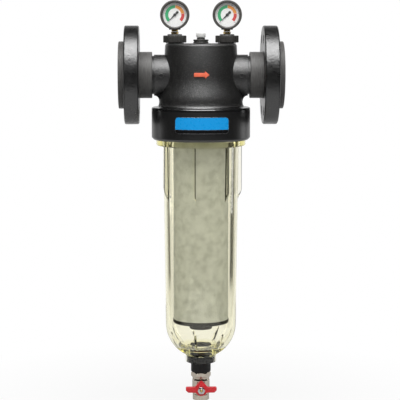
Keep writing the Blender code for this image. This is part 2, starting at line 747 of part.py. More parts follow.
def build_vane_ring(mat, parent):
    """Slanted vanes that set the incoming water spinning round the element."""
    bore_r = (CENTRE_TUBE_R + SHAFT_FIT) / math.cos(math.pi / (2 * VANE_COUNT))
    hub_r = bore_r + VANE_HUB_THICK
    tip_r = CHAMBER_R - 2 * SHAFT_FIT
    low = ELEMENT_TOP_Z + SEAT_GAP
    bm = swept_star(vane_outline(hub_r, tip_r), bore_r, low, low + VANE_HEIGHT, VANE_TWIST, 2)
    return make_object("vane_ring", bm, mat, parent)


def build_element_top(mats, parent):
    """The element's upper end: a spigot up the centre tube, sealed on its end."""
    spigot_r = BORE_R - SHAFT_FIT
    flow_r = spigot_r - ELEMENT_SPIGOT_WALL
    flange_low = ELEMENT_TOP_Z - ELEMENT_FLANGE_THICK
    profile = [
        (flow_r, ELEMENT_TOP_Z + ELEMENT_SPIGOT_LENGTH),
        (spigot_r, ELEMENT_TOP_Z + ELEMENT_SPIGOT_LENGTH),
        (spigot_r, ELEMENT_TOP_Z),
        (ELEMENT_R, ELEMENT_TOP_Z),
        (ELEMENT_R, flange_low),
        (END_SPIGOT_R, flange_low),
        (END_SPIGOT_R, flange_low - END_SPIGOT_DEPTH),
        (flow_r, flange_low - END_SPIGOT_DEPTH),
    ]
    turned_object("element_top", profile, MEDIUM, mats["head"], parent)
    seal_low = ELEMENT_TOP_Z + SEAT_GAP
    seal = tube_profile(spigot_r + SHAFT_FIT, CENTRE_TUBE_R, seal_low,
                        seal_low + ELEMENT_SEAL_THICK)
    turned_object("element_seal", seal, MEDIUM, mats["rubber"], parent)


def build_cage(mat, parent):
    """The lattice tube that holds the felt open against the water's pressure."""
    bm = bmesh.new()
    columns = CAGE_COLUMNS
    stations = [2 * math.pi * column / columns for column in range(columns)]
    heights = [FELT_TOP_Z]
    window = (FELT_TOP_Z - FELT_BOTTOM_Z - CAGE_HOOP) / CAGE_WINDOWS - CAGE_HOOP
    for _ in range(CAGE_WINDOWS):
        heights.append(heights[-1] - CAGE_HOOP)
        heights.append(heights[-1] - window)
    heights.append(FELT_BOTTOM_Z)
    grid = {}
    for shell, radius in enumerate((CAGE_R, CAGE_BORE_R)):
        for row, height in enumerate(heights):
            for column, angle in enumerate(stations):
                spot = (radius * math.cos(angle), radius * math.sin(angle), height)
                grid[shell, row, column] = bm.verts.new(spot)
    rows = len(heights) - 1

    def is_solid(row, column):
        if row < 0 or row >= rows:
            return False
        return row % 2 == 0 or column % CAGE_COLUMNS_PER_BAR == 0

    for row in range(rows):
        for column in range(columns):
            if not is_solid(row, column):
                continue
            right = (column + 1) % columns
            corners = ((row, column), (row, right), (row + 1, right), (row + 1, column))
            bm.faces.new([grid[(0, *corner)] for corner in corners])
            bm.faces.new([grid[(1, *corner)] for corner in reversed(corners)])
            neighbours = ((row - 1, column), (row, right), (row + 1, column),
                          (row, (column - 1) % columns))
            for edge, beside in enumerate(neighbours):
                if is_solid(*beside):
                    continue
                first = corners[edge]
                second = corners[(edge + 1) % 4]
                bm.faces.new((grid[(0, *first)], grid[(1, *first)],
                              grid[(1, *second)], grid[(0, *second)]))
    loose = [vert for vert in bm.verts if not vert.link_faces]
    bmesh.ops.delete(bm, geom=loose, context="VERTS")
    return make_object("support_cage", bm, mat, parent)


def build_felt(mat, parent):
    """The felt sleeve drawn over the cage."""
    profile = tube_profile(ELEMENT_R - FELT_THICK, ELEMENT_R, FELT_BOTTOM_Z, FELT_TOP_Z)
    return turned_object("filter_sleeve", profile, LARGE, mat, parent)


def build_base_cap(mat, parent):
    """The cap that closes the element's lower end, with a hub to grip."""
    low = ELEMENT_BOTTOM_Z - BASE_CAP_THICK
    hub_low = low - BASE_HUB_LENGTH
    spigot_top = ELEMENT_BOTTOM_Z + END_SPIGOT_DEPTH
    profile = fillet([
        (0.0, spigot_top),
        (END_SPIGOT_R, spigot_top),
        (END_SPIGOT_R, ELEMENT_BOTTOM_Z),
        (BASE_CAP_R, ELEMENT_BOTTOM_Z),
        (BASE_CAP_R, low, 0.0020),
        (BASE_HUB_R, low),
        (BASE_HUB_R - 0.0010, hub_low, 0.0015),
        (0.0, hub_low),
    ], steps=1)
    return turned_object("base_cap", profile, MEDIUM, mat, parent)


def bowl_wall_r(z):
    """Outside radius of the tapered wall at a height."""
    share = (BOWL_WALL_Z - z) / (BOWL_WALL_Z - BOWL_DOME_Z)
    return BOWL_TOP_R + (BOWL_FOOT_R - BOWL_TOP_R) * share


def bowl_profile():
    """The bowl's section as (wall radius, rib radius, height) points."""
    rib_end = BOWL_WALL_Z - RIB_LENGTH
    runout_end = rib_end - RIB_RUNOUT
    half_out = (rib_end + runout_end) / 2
    points = [
        (BOWL_NECK_R, BOWL_RIM_Z),
        (BOWL_NECK_R, BOWL_FLANGE_Z),
        (BOWL_FLANGE_R, BOWL_FLANGE_Z),
        (BOWL_FLANGE_R, BOWL_STEP_Z + BOWL_FLANGE_CHAMFER),
        (BOWL_FLANGE_R - BOWL_FLANGE_CHAMFER, BOWL_STEP_Z),
        (BOWL_STEP_R, BOWL_STEP_Z),
        (BOWL_STEP_R, BOWL_WALL_Z),
    ]
    section = [(r, r, z) for r, z in points]
    section.append((BOWL_TOP_R, RIB_R, BOWL_WALL_Z))
    section.append((bowl_wall_r(rib_end), RIB_R, rib_end))
    wall_r = bowl_wall_r(half_out)
    section.append((wall_r, wall_r + (RIB_R - wall_r) * RIB_RUNOUT_LEAN, half_out))
    section.append((bowl_wall_r(runout_end), bowl_wall_r(runout_end), runout_end))
    boss_angle = -math.degrees(math.acos(OUTLET_BOSS_R / BOWL_FOOT_R))
    for r, z in arc(0.0, BOWL_DOME_Z, BOWL_FOOT_R, 0.0, boss_angle, 4):
        section.append((r, r, z))
    bore_r = BUSHING_SHANK_R + SHAFT_FIT
    counterbore_r = BUSHING_FLANGE_R + SHAFT_FIT
    section.append((OUTLET_BOSS_R, OUTLET_BOSS_R, OUTLET_BOSS_Z))
    section.append((counterbore_r, counterbore_r, OUTLET_BOSS_Z))
    section.append((counterbore_r, counterbore_r, COUNTERBORE_Z))
    section.append((bore_r, bore_r, COUNTERBORE_Z))
    inner_r = BOWL_FOOT_R - BOWL_WALL
    section.append((bore_r, bore_r, BOWL_FLOOR_Z))
    floor_angle = math.degrees(math.asin((BOWL_FLOOR_Z - BOWL_DOME_Z) / inner_r))
    steps = 4
    for step, (r, z) in enumerate(arc(0.0, BOWL_DOME_Z, inner_r, floor_angle, 0.0, steps)):
        depth = FIN_DEPTH if 0 < step < steps - 1 else 0.0
        section.append((r, r - depth, z))
    for r, z in ((BOWL_TOP_R - BOWL_WALL, BOWL_WALL_Z), (BOWL_NECK_INNER_R, BOWL_RIM_Z)):
        section.append((r, r, z))
    return section


def build_bowl(mat, parent):
    """The clear bowl, ribbed for a spanner outside and finned in the sump."""
    foot = math.asin(RIB_THICK / 2 / BOWL_STEP_R)
    tip = math.asin((RIB_THICK / 2 - RIB_DRAFT / 2) / BOWL_STEP_R)
    pitch = 2 * math.pi / RIB_COUNT
    between = 2
    stations = []
    for rib in range(RIB_COUNT):
        middle = RIB_PHASE - math.pi / 2 + pitch * rib
        stations += [(middle - foot, 0), (middle - tip, 1), (middle + tip, 1),
                     (middle + foot, 0)]
        for index in range(between):
            share = (index + 1) / (between + 1)
            stations.append((middle + foot + (pitch - 2 * foot) * share, 0))
    section = bowl_profile()
    bm = bmesh.new()
    columns = []
    for angle, is_rib in stations:
        column = []
        for point in section:
            radius = point[is_rib]
            spot = (radius * math.cos(angle), radius * math.sin(angle), point[2])
            column.append(bm.verts.new(spot))
        columns.append(column)
    for index, column in enumerate(columns):
        after = columns[(index + 1) % len(columns)]
        for row in range(len(section)):
            under = (row + 1) % len(section)
            bm.faces.new((column[row], column[under], after[under], after[row]))
    return make_object("bowl", bm, mat, parent)


def build_bowl_seal(mat, parent):
    """The ring that the bowl's rim presses up against the head's ledge."""
    outer_r = BOWL_NECK_R - BOWL_SEAL_INSET
    top = LEDGE_Z - SEAT_GAP
    profile = tube_profile(outer_r - BOWL_SEAL_WIDTH, outer_r, top - BOWL_SEAL_THICK, top)
    return turned_object("bowl_seal", profile, LARGE, mat, parent)


def build_bushing(mat, parent):
    """The bushing screwed up into the bowl's boss, its collar in a counterbore."""
    shank_top = BOWL_FLOOR_Z - BUSHING_SUNK
    socket_r = VALVE_SPIGOT_R + SHAFT_FIT
    socket_top = BUSHING_END_Z + VALVE_SPIGOT_LENGTH
    profile = fillet([
        (DRAIN_BORE_R, shank_top),
        (BUSHING_SHANK_R, shank_top),
        (BUSHING_SHANK_R, BUSHING_TOP_Z),
        (BUSHING_FLANGE_R, BUSHING_TOP_Z),
        (BUSHING_FLANGE_R, OUTLET_BOSS_Z),
        (BUSHING_BODY_R, OUTLET_BOSS_Z),
        (BUSHING_BODY_R, BUSHING_END_Z, BUSHING_ROUND),
        (socket_r, BUSHING_END_Z),
        (socket_r, socket_top),
        (DRAIN_BORE_R, socket_top),
    ], steps=1)
    return turned_object("drain_bushing", profile, SMALL, mat, parent)


def build_drain_gasket(mat, parent):
    """The washer on the bushing's collar, under the counterbore's roof."""
    top = COUNTERBORE_Z - SEAT_GAP
    profile = tube_profile(BUSHING_SHANK_R + SHAFT_FIT, BUSHING_FLANGE_R,
                           top - DRAIN_GASKET_THICK, top)
    return turned_object("drain_gasket", profile, SMALL, mat, parent)


def build_valve_body(mat, parent):
    """The valve's body: spigot, hexagon, barrel and the stem's boss."""
    hex_low = VALVE_TOP_Z - VALVE_HEX_HEIGHT
    spigot_top = VALVE_TOP_Z + VALVE_SPIGOT_LENGTH - SEAT_GAP
    barrel = fillet([
        (0.0, spigot_top),
        (VALVE_SPIGOT_R, spigot_top),
        (VALVE_SPIGOT_R, VALVE_TOP_Z - VALVE_HEX_HEIGHT / 2),
        (VALVE_R, VALVE_TOP_Z - VALVE_HEX_HEIGHT / 2),
        (VALVE_R, VALVE_BODY_END_Z, 0.0010),
        (0.0, VALVE_BODY_END_Z),
    ], steps=1)
    body = turned_object("valve_body", barrel, SMALL, mat, parent)
    hex_r = VALVE_HEX_ACROSS_FLATS / math.sqrt(3)
    spanner_hex = turned_object("tool_valve_hexagon",
                                rod_profile(hex_r, hex_low, VALVE_TOP_Z), 6, None, parent)
    combine(body, spanner_hex, "UNION")
    boss = turned_object("tool_stem_boss", rod_profile(STEM_BOSS_R, STEM_BORE_START, STEM_BOSS_REACH),
                         SMALL, None, parent, (0.0, 0.0, VALVE_Z), TO_FRONT)
    combine(body, boss, "UNION")
    cavity_top = VALVE_Z + SEAT_REACH + SEAT_GAP
    water_way = turned_object(
        "cut_valve_bore",
        [(0.0, spigot_top + CUT_BEYOND), (DRAIN_BORE_R, spigot_top + CUT_BEYOND),
         (DRAIN_BORE_R, cavity_top), (VALVE_CAVITY_R, cavity_top),
         (VALVE_CAVITY_R, VALVE_BODY_END_Z - CUT_BEYOND), (0.0, VALVE_BODY_END_Z - CUT_BEYOND)],
        SMALL, None, parent)
    combine(body, water_way, "DIFFERENCE")
    stem_r = STEM_R + SHAFT_FIT
    packing_r = PACKING_R + SHAFT_FIT
    stem_way = turned_object(
        "cut_stem_bore",
        [(0.0, STEM_BOSS_REACH + CUT_BEYOND), (packing_r, STEM_BOSS_REACH + CUT_BEYOND),
         (packing_r, PACKING_START), (stem_r, PACKING_START), (stem_r, STEM_BORE_START),
         (0.0, STEM_BORE_START)],
        TINY, None, parent, (0.0, 0.0, VALVE_Z), TO_FRONT, math.radians(15.0))
    combine(body, stem_way, "DIFFERENCE")
    return body


def build_valve_end(mat, parent):
    """The screwed end that holds the lower seat, open below for a hose tail."""
    spigot_r = VALVE_CAVITY_R - SHAFT_FIT
    spigot_top = VALVE_Z - SEAT_REACH - SEAT_GAP
    profile = fillet([
        (DRAIN_BORE_R, spigot_top),
        (spigot_r, spigot_top),
        (spigot_r, VALVE_END_TOP_Z),
        (VALVE_END_R, VALVE_END_TOP_Z),
        (VALVE_END_R, VALVE_BOTTOM_Z, 0.0012),
        (VALVE_OUTLET_R, VALVE_BOTTOM_Z),
        (VALVE_OUTLET_R, VALVE_BOTTOM_Z + VALVE_OUTLET_DEPTH),
        (DRAIN_BORE_R, VALVE_BOTTOM_Z + VALVE_OUTLET_DEPTH + VALVE_OUTLET_CONE),
    ], steps=1)
    return turned_object("valve_end", profile, SMALL, mat, parent)


def build_seat(name, direction, mat, parent):
    """A seat ring whose cone closes on the ball, above or below it."""
    reach = SEAT_REACH * direction
    rest_r = BALL_R + BALL_FIT
    lip_r = rest_r * math.cos(SEAT_LIP_ANGLE)
    lip_z = rest_r * math.sin(SEAT_LIP_ANGLE)
    outer_r = VALVE_CAVITY_R - SHAFT_FIT
    skirt_z = lip_z - (outer_r - lip_r) * lip_r / lip_z
    inner_r = DRAIN_BORE_R + 0.0002
    inner_z = math.sqrt((rest_r + 0.0001) ** 2 - inner_r ** 2)
    profile = [
        (inner_r, reach),
        (outer_r, reach),
        (outer_r, skirt_z * direction),
        (lip_r, lip_z * direction),
        (inner_r, inner_z * direction),
    ]
    return turned_object(name, profile, SMALL, mat, parent, (0.0, 0.0, VALVE_Z))


def build_ball(mat, parent):
    """The ball, bored across and slotted for the stem's blade."""
    profile = arc(0.0, 0.0, BALL_R, 90.0, -90.0, 8)
    profile[0] = (0.0, BALL_R)
    profile[-1] = (0.0, -BALL_R)
    ball = turned_object("valve_ball", profile, SMALL, mat, parent)
    bore = turned_object("cut_ball_bore", rod_profile(DRAIN_BORE_R, -0.02, 0.02), SMALL, None,
                         parent, turn=ALONG_X)
    combine(ball, bore, "DIFFERENCE")
    slot_half = STEM_BLADE_HALF + SHAFT_FIT
    slot = prism([(-0.02, -slot_half), (0.02, -slot_half), (0.02, slot_half),
                  (-0.02, slot_half)], BALL_SLOT_FLOOR, 0.02)
    slot.transform(TO_FRONT)
    combine(ball, make_object("cut_ball_slot", slot, None, parent), "DIFFERENCE")
    return ball


def build_stem(mat, parent):
    """The stem: a blade in the ball's slot, flats for the handle and a stud."""
    shoulder = VALVE_CAVITY_R - 2 * SEAT_GAP
    profile = [
        (0.0, BALL_SLOT_FLOOR + SEAT_GAP),
        (STEM_R, BALL_SLOT_FLOOR + SEAT_GAP),
        (STEM_R, HANDLE_FRONT),
        (STUD_R, HANDLE_FRONT),
        (STUD_R, HANDLE_FRONT + STUD_LENGTH),
        (0.0, HANDLE_FRONT + STUD_LENGTH),
    ]
    stem = turned_object("valve_stem", profile, TINY, mat, parent, turn=TO_FRONT)
    for side in (-1.0, 1.0):
        for label, half, low, high in (
                ("blade", STEM_BLADE_HALF, 0.0, shoulder),
                ("flat", STEM_FLAT_HALF, HANDLE_BACK - 0.0002, HANDLE_FRONT + 0.0001)):
            near = side * half
            far = side * 0.010
            outline = [(-0.010, near), (0.010, near), (0.010, far), (-0.010, far)]
            waste = prism(outline, low, high)
            waste.transform(TO_FRONT)
            name = f"cut_stem_{label}_{'up' if side > 0 else 'down'}"
            combine(stem, make_object(name, waste, None, parent), "DIFFERENCE")
    return stem


def handle_outline():
    """The butterfly handle as (x, z) points: two wings under a peaked hub."""
    half_height = HANDLE_WING_HEIGHT / 2
    right = [
        (0.0, HANDLE_PEAK),
        (HANDLE_NECK_X, HANDLE_NECK_Z),
        (HANDLE_HUB_R, half_height),
        (HANDLE_HALF_SPAN, half_height),
        (HANDLE_HALF_SPAN, half_height - HANDLE_WING_HEIGHT + HANDLE_BEVEL),
        (HANDLE_HALF_SPAN - HANDLE_BEVEL, -half_height),
        (HANDLE_HUB_START, -half_height),
    ]
    hub_arc = arc(0.0, 0.0, HANDLE_HUB_R, -40.0, -90.0, 3)
    right += hub_arc
    left = [(-x, z) for x, z in reversed(right[1:-1])]
    return right + left


def build_handle(mat, parent):
    """The butterfly handle, pierced for the stem's flats."""
    bm = prism(handle_outline(), HANDLE_BACK, HANDLE_FRONT)
    front_edges = [edge for edge in bm.edges
                   if all(vert.co.z > HANDLE_FRONT - 1e-6 for vert in edge.verts)]
    bmesh.ops.bevel(bm, geom=front_edges, offset=0.0010, segments=1, affect="EDGES")
    bm.transform(TO_FRONT)
    handle = make_object("valve_handle", bm, mat, parent)
    half = STEM_FLAT_HALF + SHAFT_FIT
    wide = STEM_R + SHAFT_FIT
    hole = prism([(-wide, -half), (wide, -half), (wide, half), (-wide, half)],
                 HANDLE_BACK - CUT_BEYOND, HANDLE_FRONT + CUT_BEYOND)
    hole.transform(TO_FRONT)
    combine(handle, make_object("cut_handle_hole", hole, None, parent), "DIFFERENCE")
    return handle


def build_valve_trim(mats, bowl_parent, spindle_parent):
    """Packing, gland nut and handle nut, all on the stem's axis."""
    at_axis = (0.0, 0.0, VALVE_Z)
    bore_r = STEM_R + SHAFT_FIT
    start = PACKING_START + SEAT_GAP
    end = start + PACKING_LENGTH
    turned_object("stem_packing", tube_profile(bore_r, PACKING_R, start, end), TINY,
                  mats["seat"], bowl_parent, at_axis, TO_FRONT)
    hex_low = STEM_BOSS_REACH + SEAT_GAP
    gland = [
        (bore_r, hex_low + GLAND_HEX_HEIGHT),
        (GLAND_HEX_R, hex_low + GLAND_HEX_HEIGHT),
        (GLAND_HEX_R, hex_low),
        (PACKING_R, hex_low),
        (PACKING_R, end + SEAT_GAP),
        (bore_r, end + SEAT_GAP),
    ]
    turned_object("gland_nut", gland, TINY, mats["nickel"], bowl_parent, at_axis, TO_FRONT)
    nut_low = HANDLE_FRONT + SEAT_GAP
    nut = swept_star(hexagon(HANDLE_NUT_R), STUD_R + SHAFT_FIT, nut_low,
                     nut_low + HANDLE_NUT_HEIGHT, 0.0, 1)
    nut.transform(TO_FRONT)
    make_object("handle_nut", nut, mats["steel"], spindle_parent)


def build_plug(side, x, mats, parent):
    """A lobed hand plug in the head's top, with its seal and gauge stem."""
    at_plug = (x, 0.0, 0.0)
    points = 4 * PLUG_LOBES
    outline = []
    for index in range(points):
        angle = 2 * math.pi * index / points
        radius = PLUG_R + PLUG_LOBE * math.cos(PLUG_LOBES * angle)
        outline.append((radius * math.cos(angle), radius * math.sin(angle)))
    plug = make_object(side + "_gauge_plug", prism(outline, PLUG_BOTTOM_Z, PLUG_TOP_Z),
                       mats["head"], parent, at_plug)
    shank_low = HEAD_TOP_Z - PLUG_SHANK_LENGTH
    core = [
        (0.0, PLUG_NECK_TOP_Z),
        (PLUG_NECK_R, PLUG_NECK_TOP_Z),
        (PLUG_NECK_R, PLUG_TOP_Z - PLUG_NECK_HEIGHT),
        (PLUG_SHANK_R, PLUG_TOP_Z - PLUG_NECK_HEIGHT),
        (PLUG_SHANK_R, shank_low),
        (0.0, shank_low),
    ]
    combine(plug, turned_object(f"tool_{side}_plug_core", core, SMALL, None, parent, at_plug),
            "UNION")
    bore_r = GAUGE_SHANK_R + SHAFT_FIT
    bore = turned_object(f"cut_{side}_plug_bore",
                         rod_profile(bore_r, shank_low - CUT_BEYOND, PLUG_NECK_TOP_Z + CUT_BEYOND),
                         TINY,
                         None, parent, at_plug)
    combine(plug, bore, "DIFFERENCE")
    seal_low = HEAD_TOP_Z + SEAT_GAP
    seal = tube_profile(PLUG_SHANK_R + SHAFT_FIT, PLUG_SEAL_R, seal_low,
                        seal_low + PLUG_SEAL_THICK)
    turned_object(side + "_plug_seal", seal, SMALL, mats["rubber"], parent, at_plug)
    shank_end = STEM_BASE_Z - GAUGE_SHANK_LENGTH
    stem = [
        (GAUGE_PORT_R, STEM_TOP_Z),
        (STEM_HEX_R, STEM_TOP_Z),
        (STEM_HEX_R, STEM_BASE_Z),
        (GAUGE_SHANK_R, STEM_BASE_Z),
        (GAUGE_SHANK_R, shank_end),
        (GAUGE_PORT_R, shank_end),
    ]
    turned_object(side + "_gauge_stem", stem, TINY, mats["brass"], parent, at_plug)


def build_gauge_case(side, x, mat, parent):
    """The gauge's cup, with a bearing post inside and a lug and neck below."""
    back = -CASE_BACK
    floor = back + CASE_WALL
    inner_r = CASE_R - CASE_WALL
    cup = fillet([
        (0.0, back),
        (CASE_R, back, 0.0030),
        (CASE_R, CASE_FRONT),
        (0.0, CASE_FRONT),
    ], steps=1)
    case = turned_object(side + "_gauge_case", cup, MEDIUM, mat, parent,
                         (x, 0.0, GAUGE_Z), TO_FRONT)
    half = CASE_LUG_WIDTH / 2
    bm = prism([(-half, -CASE_LUG_HALF_DEPTH), (half, -CASE_LUG_HALF_DEPTH),
                (half, CASE_LUG_HALF_DEPTH), (-half, CASE_LUG_HALF_DEPTH)],
               CASE_LUG_BOTTOM_Z, GAUGE_Z)
    combine(case, make_object(f"tool_{side}_case_lug", bm, None, parent, (x, 0.0, 0.0)),
            "UNION")
    neck = turned_object(f"tool_{side}_case_neck",
                         rod_profile(CASE_NECK_R, STEM_TOP_Z + SEAT_GAP,
                                     CASE_LUG_BOTTOM_Z + 0.002),
                         TINY, None, parent, (x, 0.0, 0.0))
    combine(case, neck, "UNION")
    hollow = [
        (0.0, CASE_FRONT + CUT_BEYOND),
        (inner_r, CASE_FRONT + CUT_BEYOND),
        (inner_r, floor),
        (BEARING_POST_R, floor),
        (BEARING_POST_R, POST_FRONT),
        (ARBOR_R + SHAFT_FIT, POST_FRONT),
        (ARBOR_R + SHAFT_FIT, POST_FRONT - ARBOR_LENGTH - SEAT_GAP),
        (0.0, POST_FRONT - ARBOR_LENGTH - SEAT_GAP),
    ]
    mouth = turned_object(f"cut_{side}_case_mouth", hollow, MEDIUM, None, parent,
                          (x, 0.0, GAUGE_Z), TO_FRONT)
    combine(case, mouth, "DIFFERENCE")
    return case


def build_gauge_face(side, x, mats, parent, pointer_parent):
    """Dial, lens, bezel and pointer of one gauge."""
    at_gauge = (x, 0.0, GAUGE_Z)
    dial_r = CASE_R - CASE_WALL - SHAFT_FIT
    turned_object(side + "_gauge_dial",
                  tube_profile(ARBOR_R + SHAFT_FIT, dial_r, DIAL_BACK, DIAL_FRONT),
                  MEDIUM, mats["dial"], parent, at_gauge, TO_FRONT)
    lens_r = CASE_R - SHAFT_FIT
    turned_object(side + "_gauge_lens", rod_profile(lens_r, LENS_BACK, LENS_FRONT),
                  MEDIUM, mats["lens"], parent, at_gauge, TO_FRONT)
    skirt_r = CASE_R + SHAFT_FIT
    lip_front = BEZEL_LIP_BACK + BEZEL_LIP_THICK
    bezel = [
        (BEZEL_LIP_R, BEZEL_LIP_BACK),
        (BEZEL_LIP_R, lip_front),
        (BEZEL_R - BEZEL_EDGE, lip_front),
        (BEZEL_R, lip_front - BEZEL_EDGE),
        (BEZEL_R, BEZEL_BACK),
        (skirt_r, BEZEL_BACK),
        (skirt_r, BEZEL_LIP_BACK),
    ]
    turned_object(side + "_gauge_bezel", bezel, MEDIUM, mats["black"], parent, at_gauge,
                  TO_FRONT)
    build_pointer(side, mats["pointer"], pointer_parent)


def build_pointer(side, mat, parent):
    """A pointer at zero: needle, weighted tail and the arbor that carries it."""
    back = DIAL_FRONT + POINTER_LIFT
    front = back + POINTER_THICK
    outline = [(0.0, POINTER_TIP), (POINTER_HALF, POINTER_WAIST)]
    outline += arc(0.0, 0.0, POINTER_HUB_R, 55.0, -55.0, 3)
    outline += [(POINTER_HALF, -POINTER_WAIST),
                (POINTER_TAIL_HALF, -POINTER_TAIL_START),
                (POINTER_TAIL_HALF, -POINTER_TAIL)]
    outline += [(-across, along) for across, along in reversed(outline[1:])]
    bm = prism(outline, back, front)
    bm.transform(TO_FRONT)
    bm.transform(Matrix.Rotation(POINTER_ZERO, 4, "Y"))
    pointer = make_object(side + "_pointer", bm, mat, parent)
    arbor = turned_object(f"tool_{side}_arbor",
                          rod_profile(ARBOR_R, POST_FRONT - ARBOR_LENGTH, front + 0.0003),
                          TINY, None, parent, turn=TO_FRONT)
    combine(pointer, arbor, "UNION")
    return pointer


def build_bleed(mats, parent, seal_parent, knob_parent):
    """The air bleed in the middle of the head's top."""
    base_top = BLEED_BASE_Z + BLEED_BASE_HEIGHT
    screw_bore_r = BLEED_SCREW_R + SHAFT_FIT
    pocket_r = BLEED_SEAL_R + SHAFT_FIT
    pocket_z = BLEED_NECK_TOP_Z - BLEED_SEAL_THICK - SEAT_GAP
    shank_low = HEAD_TOP_Z - BLEED_SHANK_LENGTH
    waist = (BLEED_BASE_R - BLEED_WAIST, (BLEED_BASE_Z + base_top) / 2)
    seat = [
        (pocket_r, BLEED_NECK_TOP_Z),
        (BLEED_NECK_R, BLEED_NECK_TOP_Z),
        (BLEED_NECK_R, base_top),
        (BLEED_BASE_R, base_top),
        waist,
        (BLEED_BASE_R, BLEED_BASE_Z),
        (BLEED_SHANK_R, BLEED_BASE_Z),
        (BLEED_SHANK_R, shank_low),
        (screw_bore_r, shank_low),
        (screw_bore_r, pocket_z),
        (pocket_r, pocket_z),
    ]
    turned_object("bleed_seat", seat, SMALL, mats["head"], parent)
    seal = tube_profile(screw_bore_r, BLEED_SEAL_R, pocket_z + SEAT_GAP, BLEED_NECK_TOP_Z)
    turned_object("bleed_seal", seal, SMALL, mats["rubber"], seal_parent)
    knob_low = BLEED_NECK_TOP_Z + SEAT_GAP
    knob_top = knob_low + BLEED_KNOB_HEIGHT
    knob = fillet([
        (0.0, knob_top),
        (BLEED_KNOB_R, knob_top, 0.0012),
        (BLEED_KNOB_R, knob_low),
        (BLEED_SCREW_R, knob_low),
        (BLEED_SCREW_R, knob_low - BLEED_SCREW_LENGTH),
        (0.0, knob_low - BLEED_SCREW_LENGTH),
    ])
    turned_object("bleed_knob", knob, SMALL, mats["white"], knob_parent)


def make_materials():
    """One plain material for each kind of surface."""
    return {
        "head": make_material("moulded_black", (0.020, 0.020, 0.022), 0.55),
        "black": make_material("gloss_black", (0.012, 0.012, 0.013), 0.25),
        "pvc": make_material("grey_pvc", (0.075, 0.075, 0.077), 0.45),
        "ring": make_material("flange_black", (0.010, 0.010, 0.011), 0.35),
        "rubber": make_material("seal_rubber", (0.015, 0.015, 0.015), 0.80),
        "label": make_material("label_blue", (0.008, 0.40, 0.68), 0.35),
        "arrow": make_material("arrow_red", (0.80, 0.13, 0.06), 0.40),
        "vane": make_material("vane_white", (0.75, 0.75, 0.73), 0.45),
        "felt": make_material("grey_felt", (0.55, 0.56, 0.57), 0.95),
        "brass": make_material("brass", (0.62, 0.44, 0.20), 0.28, 1.0),
        "dial": make_material("dial_white", (0.85, 0.85, 0.85), 0.45),
        "lens": make_material("clear_lens", (0.95, 0.97, 0.97), 0.05, 0.0, 0.15),
        "pointer": make_material("pointer_black", (0.010, 0.010, 0.010), 0.40),
        "white": make_material("knob_white", (0.85, 0.85, 0.84), 0.35),
        "bowl": make_material("clear_straw", (0.82, 0.74, 0.55), 0.08, 0.0, 0.25),
        "nickel": make_material("nickel_plate", (0.60, 0.57, 0.52), 0.28, 1.0),
        "seat": make_material("white_seat", (0.80, 0.80, 0.78), 0.40),
        "ball": make_material("polished_ball", (0.70, 0.70, 0.70), 0.12, 1.0),
        "handle": make_material("handle_red", (0.58, 0.015, 0.03), 0.30),
        "steel": make_material("bright_steel", (0.62, 0.62, 0.62), 0.30, 1.0),
    }


def build_part():
    """Assemble the filter on its pipe axis."""
    clear_scene()
    mats = make_materials()
    pipe = make_empty("pipe_axis", (0.0, 0.0, PIPE_AXIS_HEIGHT))

    build_head(mats["head"], pipe)
    build_label(mats["label"], pipe)
    build_arrow(mats["arrow"], pipe)
    for side, turn in (("inlet", ALONG_MINUS_X), ("outlet", ALONG_X)):
        build_stub(side, turn, mats["pvc"], pipe)
        build_port_seal(side, turn, mats["rubber"], pipe)
        build_backing_ring(side, turn, mats["ring"], pipe)

    build_vane_ring(mats["vane"], pipe)
    build_element_top(mats, pipe)
    build_cage(mats["vane"], pipe)
    build_felt(mats["felt"], pipe)
    build_base_cap(mats["head"], pipe)

    for side, x in (("inlet", -GAUGE_X), ("outlet", GAUGE_X)):
        build_plug(side, x, mats, pipe)
        build_gauge_case(side, x, mats["black"], pipe)
        pointer_axis = make_empty(side + "_pointer_axis", (x, 0.0, GAUGE_Z), pipe)
        build_gauge_face(side, x, mats, pipe, pointer_axis)

    build_bleed(mats, pipe, pipe, pipe)

    build_bowl(mats["bowl"], pipe)
    build_bowl_seal(mats["rubber"], pipe)
    build_drain_gasket(mats["rubber"], pipe)
    build_bushing(mats["head"], pipe)
    build_valve_body(mats["nickel"], pipe)
    build_valve_end(mats["nickel"], pipe)
    build_seat("upper_ball_seat", 1.0, mats["seat"], pipe)
    build_seat("lower_ball_seat", -1.0, mats["seat"], pipe)
    spindle = make_empty("valve_spindle_axis", (0.0, 0.0, VALVE_Z), pipe)
    build_ball(mats["ball"], spindle)
    build_stem(mats["brass"], spindle)
    build_handle(mats["handle"], spindle)
    build_valve_trim(mats, pipe, spindle)


build_part()
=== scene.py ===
"""Looks of the self cleaning filter.

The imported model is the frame. The pieces that show are made again here with
round forms, small roundings, threads and marks, at the same places and sizes,
and every piece gets its finish. Units are metres. Heights named *_Z are
measured from the pipe axis, and depths of gauge and valve parts from their
own axis towards the front, which faces -Y. A section's point is a radius and
a height, and its third number, where it has one, is the corner's rounding.
"""

import json
import math

import bmesh
import bpy
from mathutils import Matrix, Vector, noise

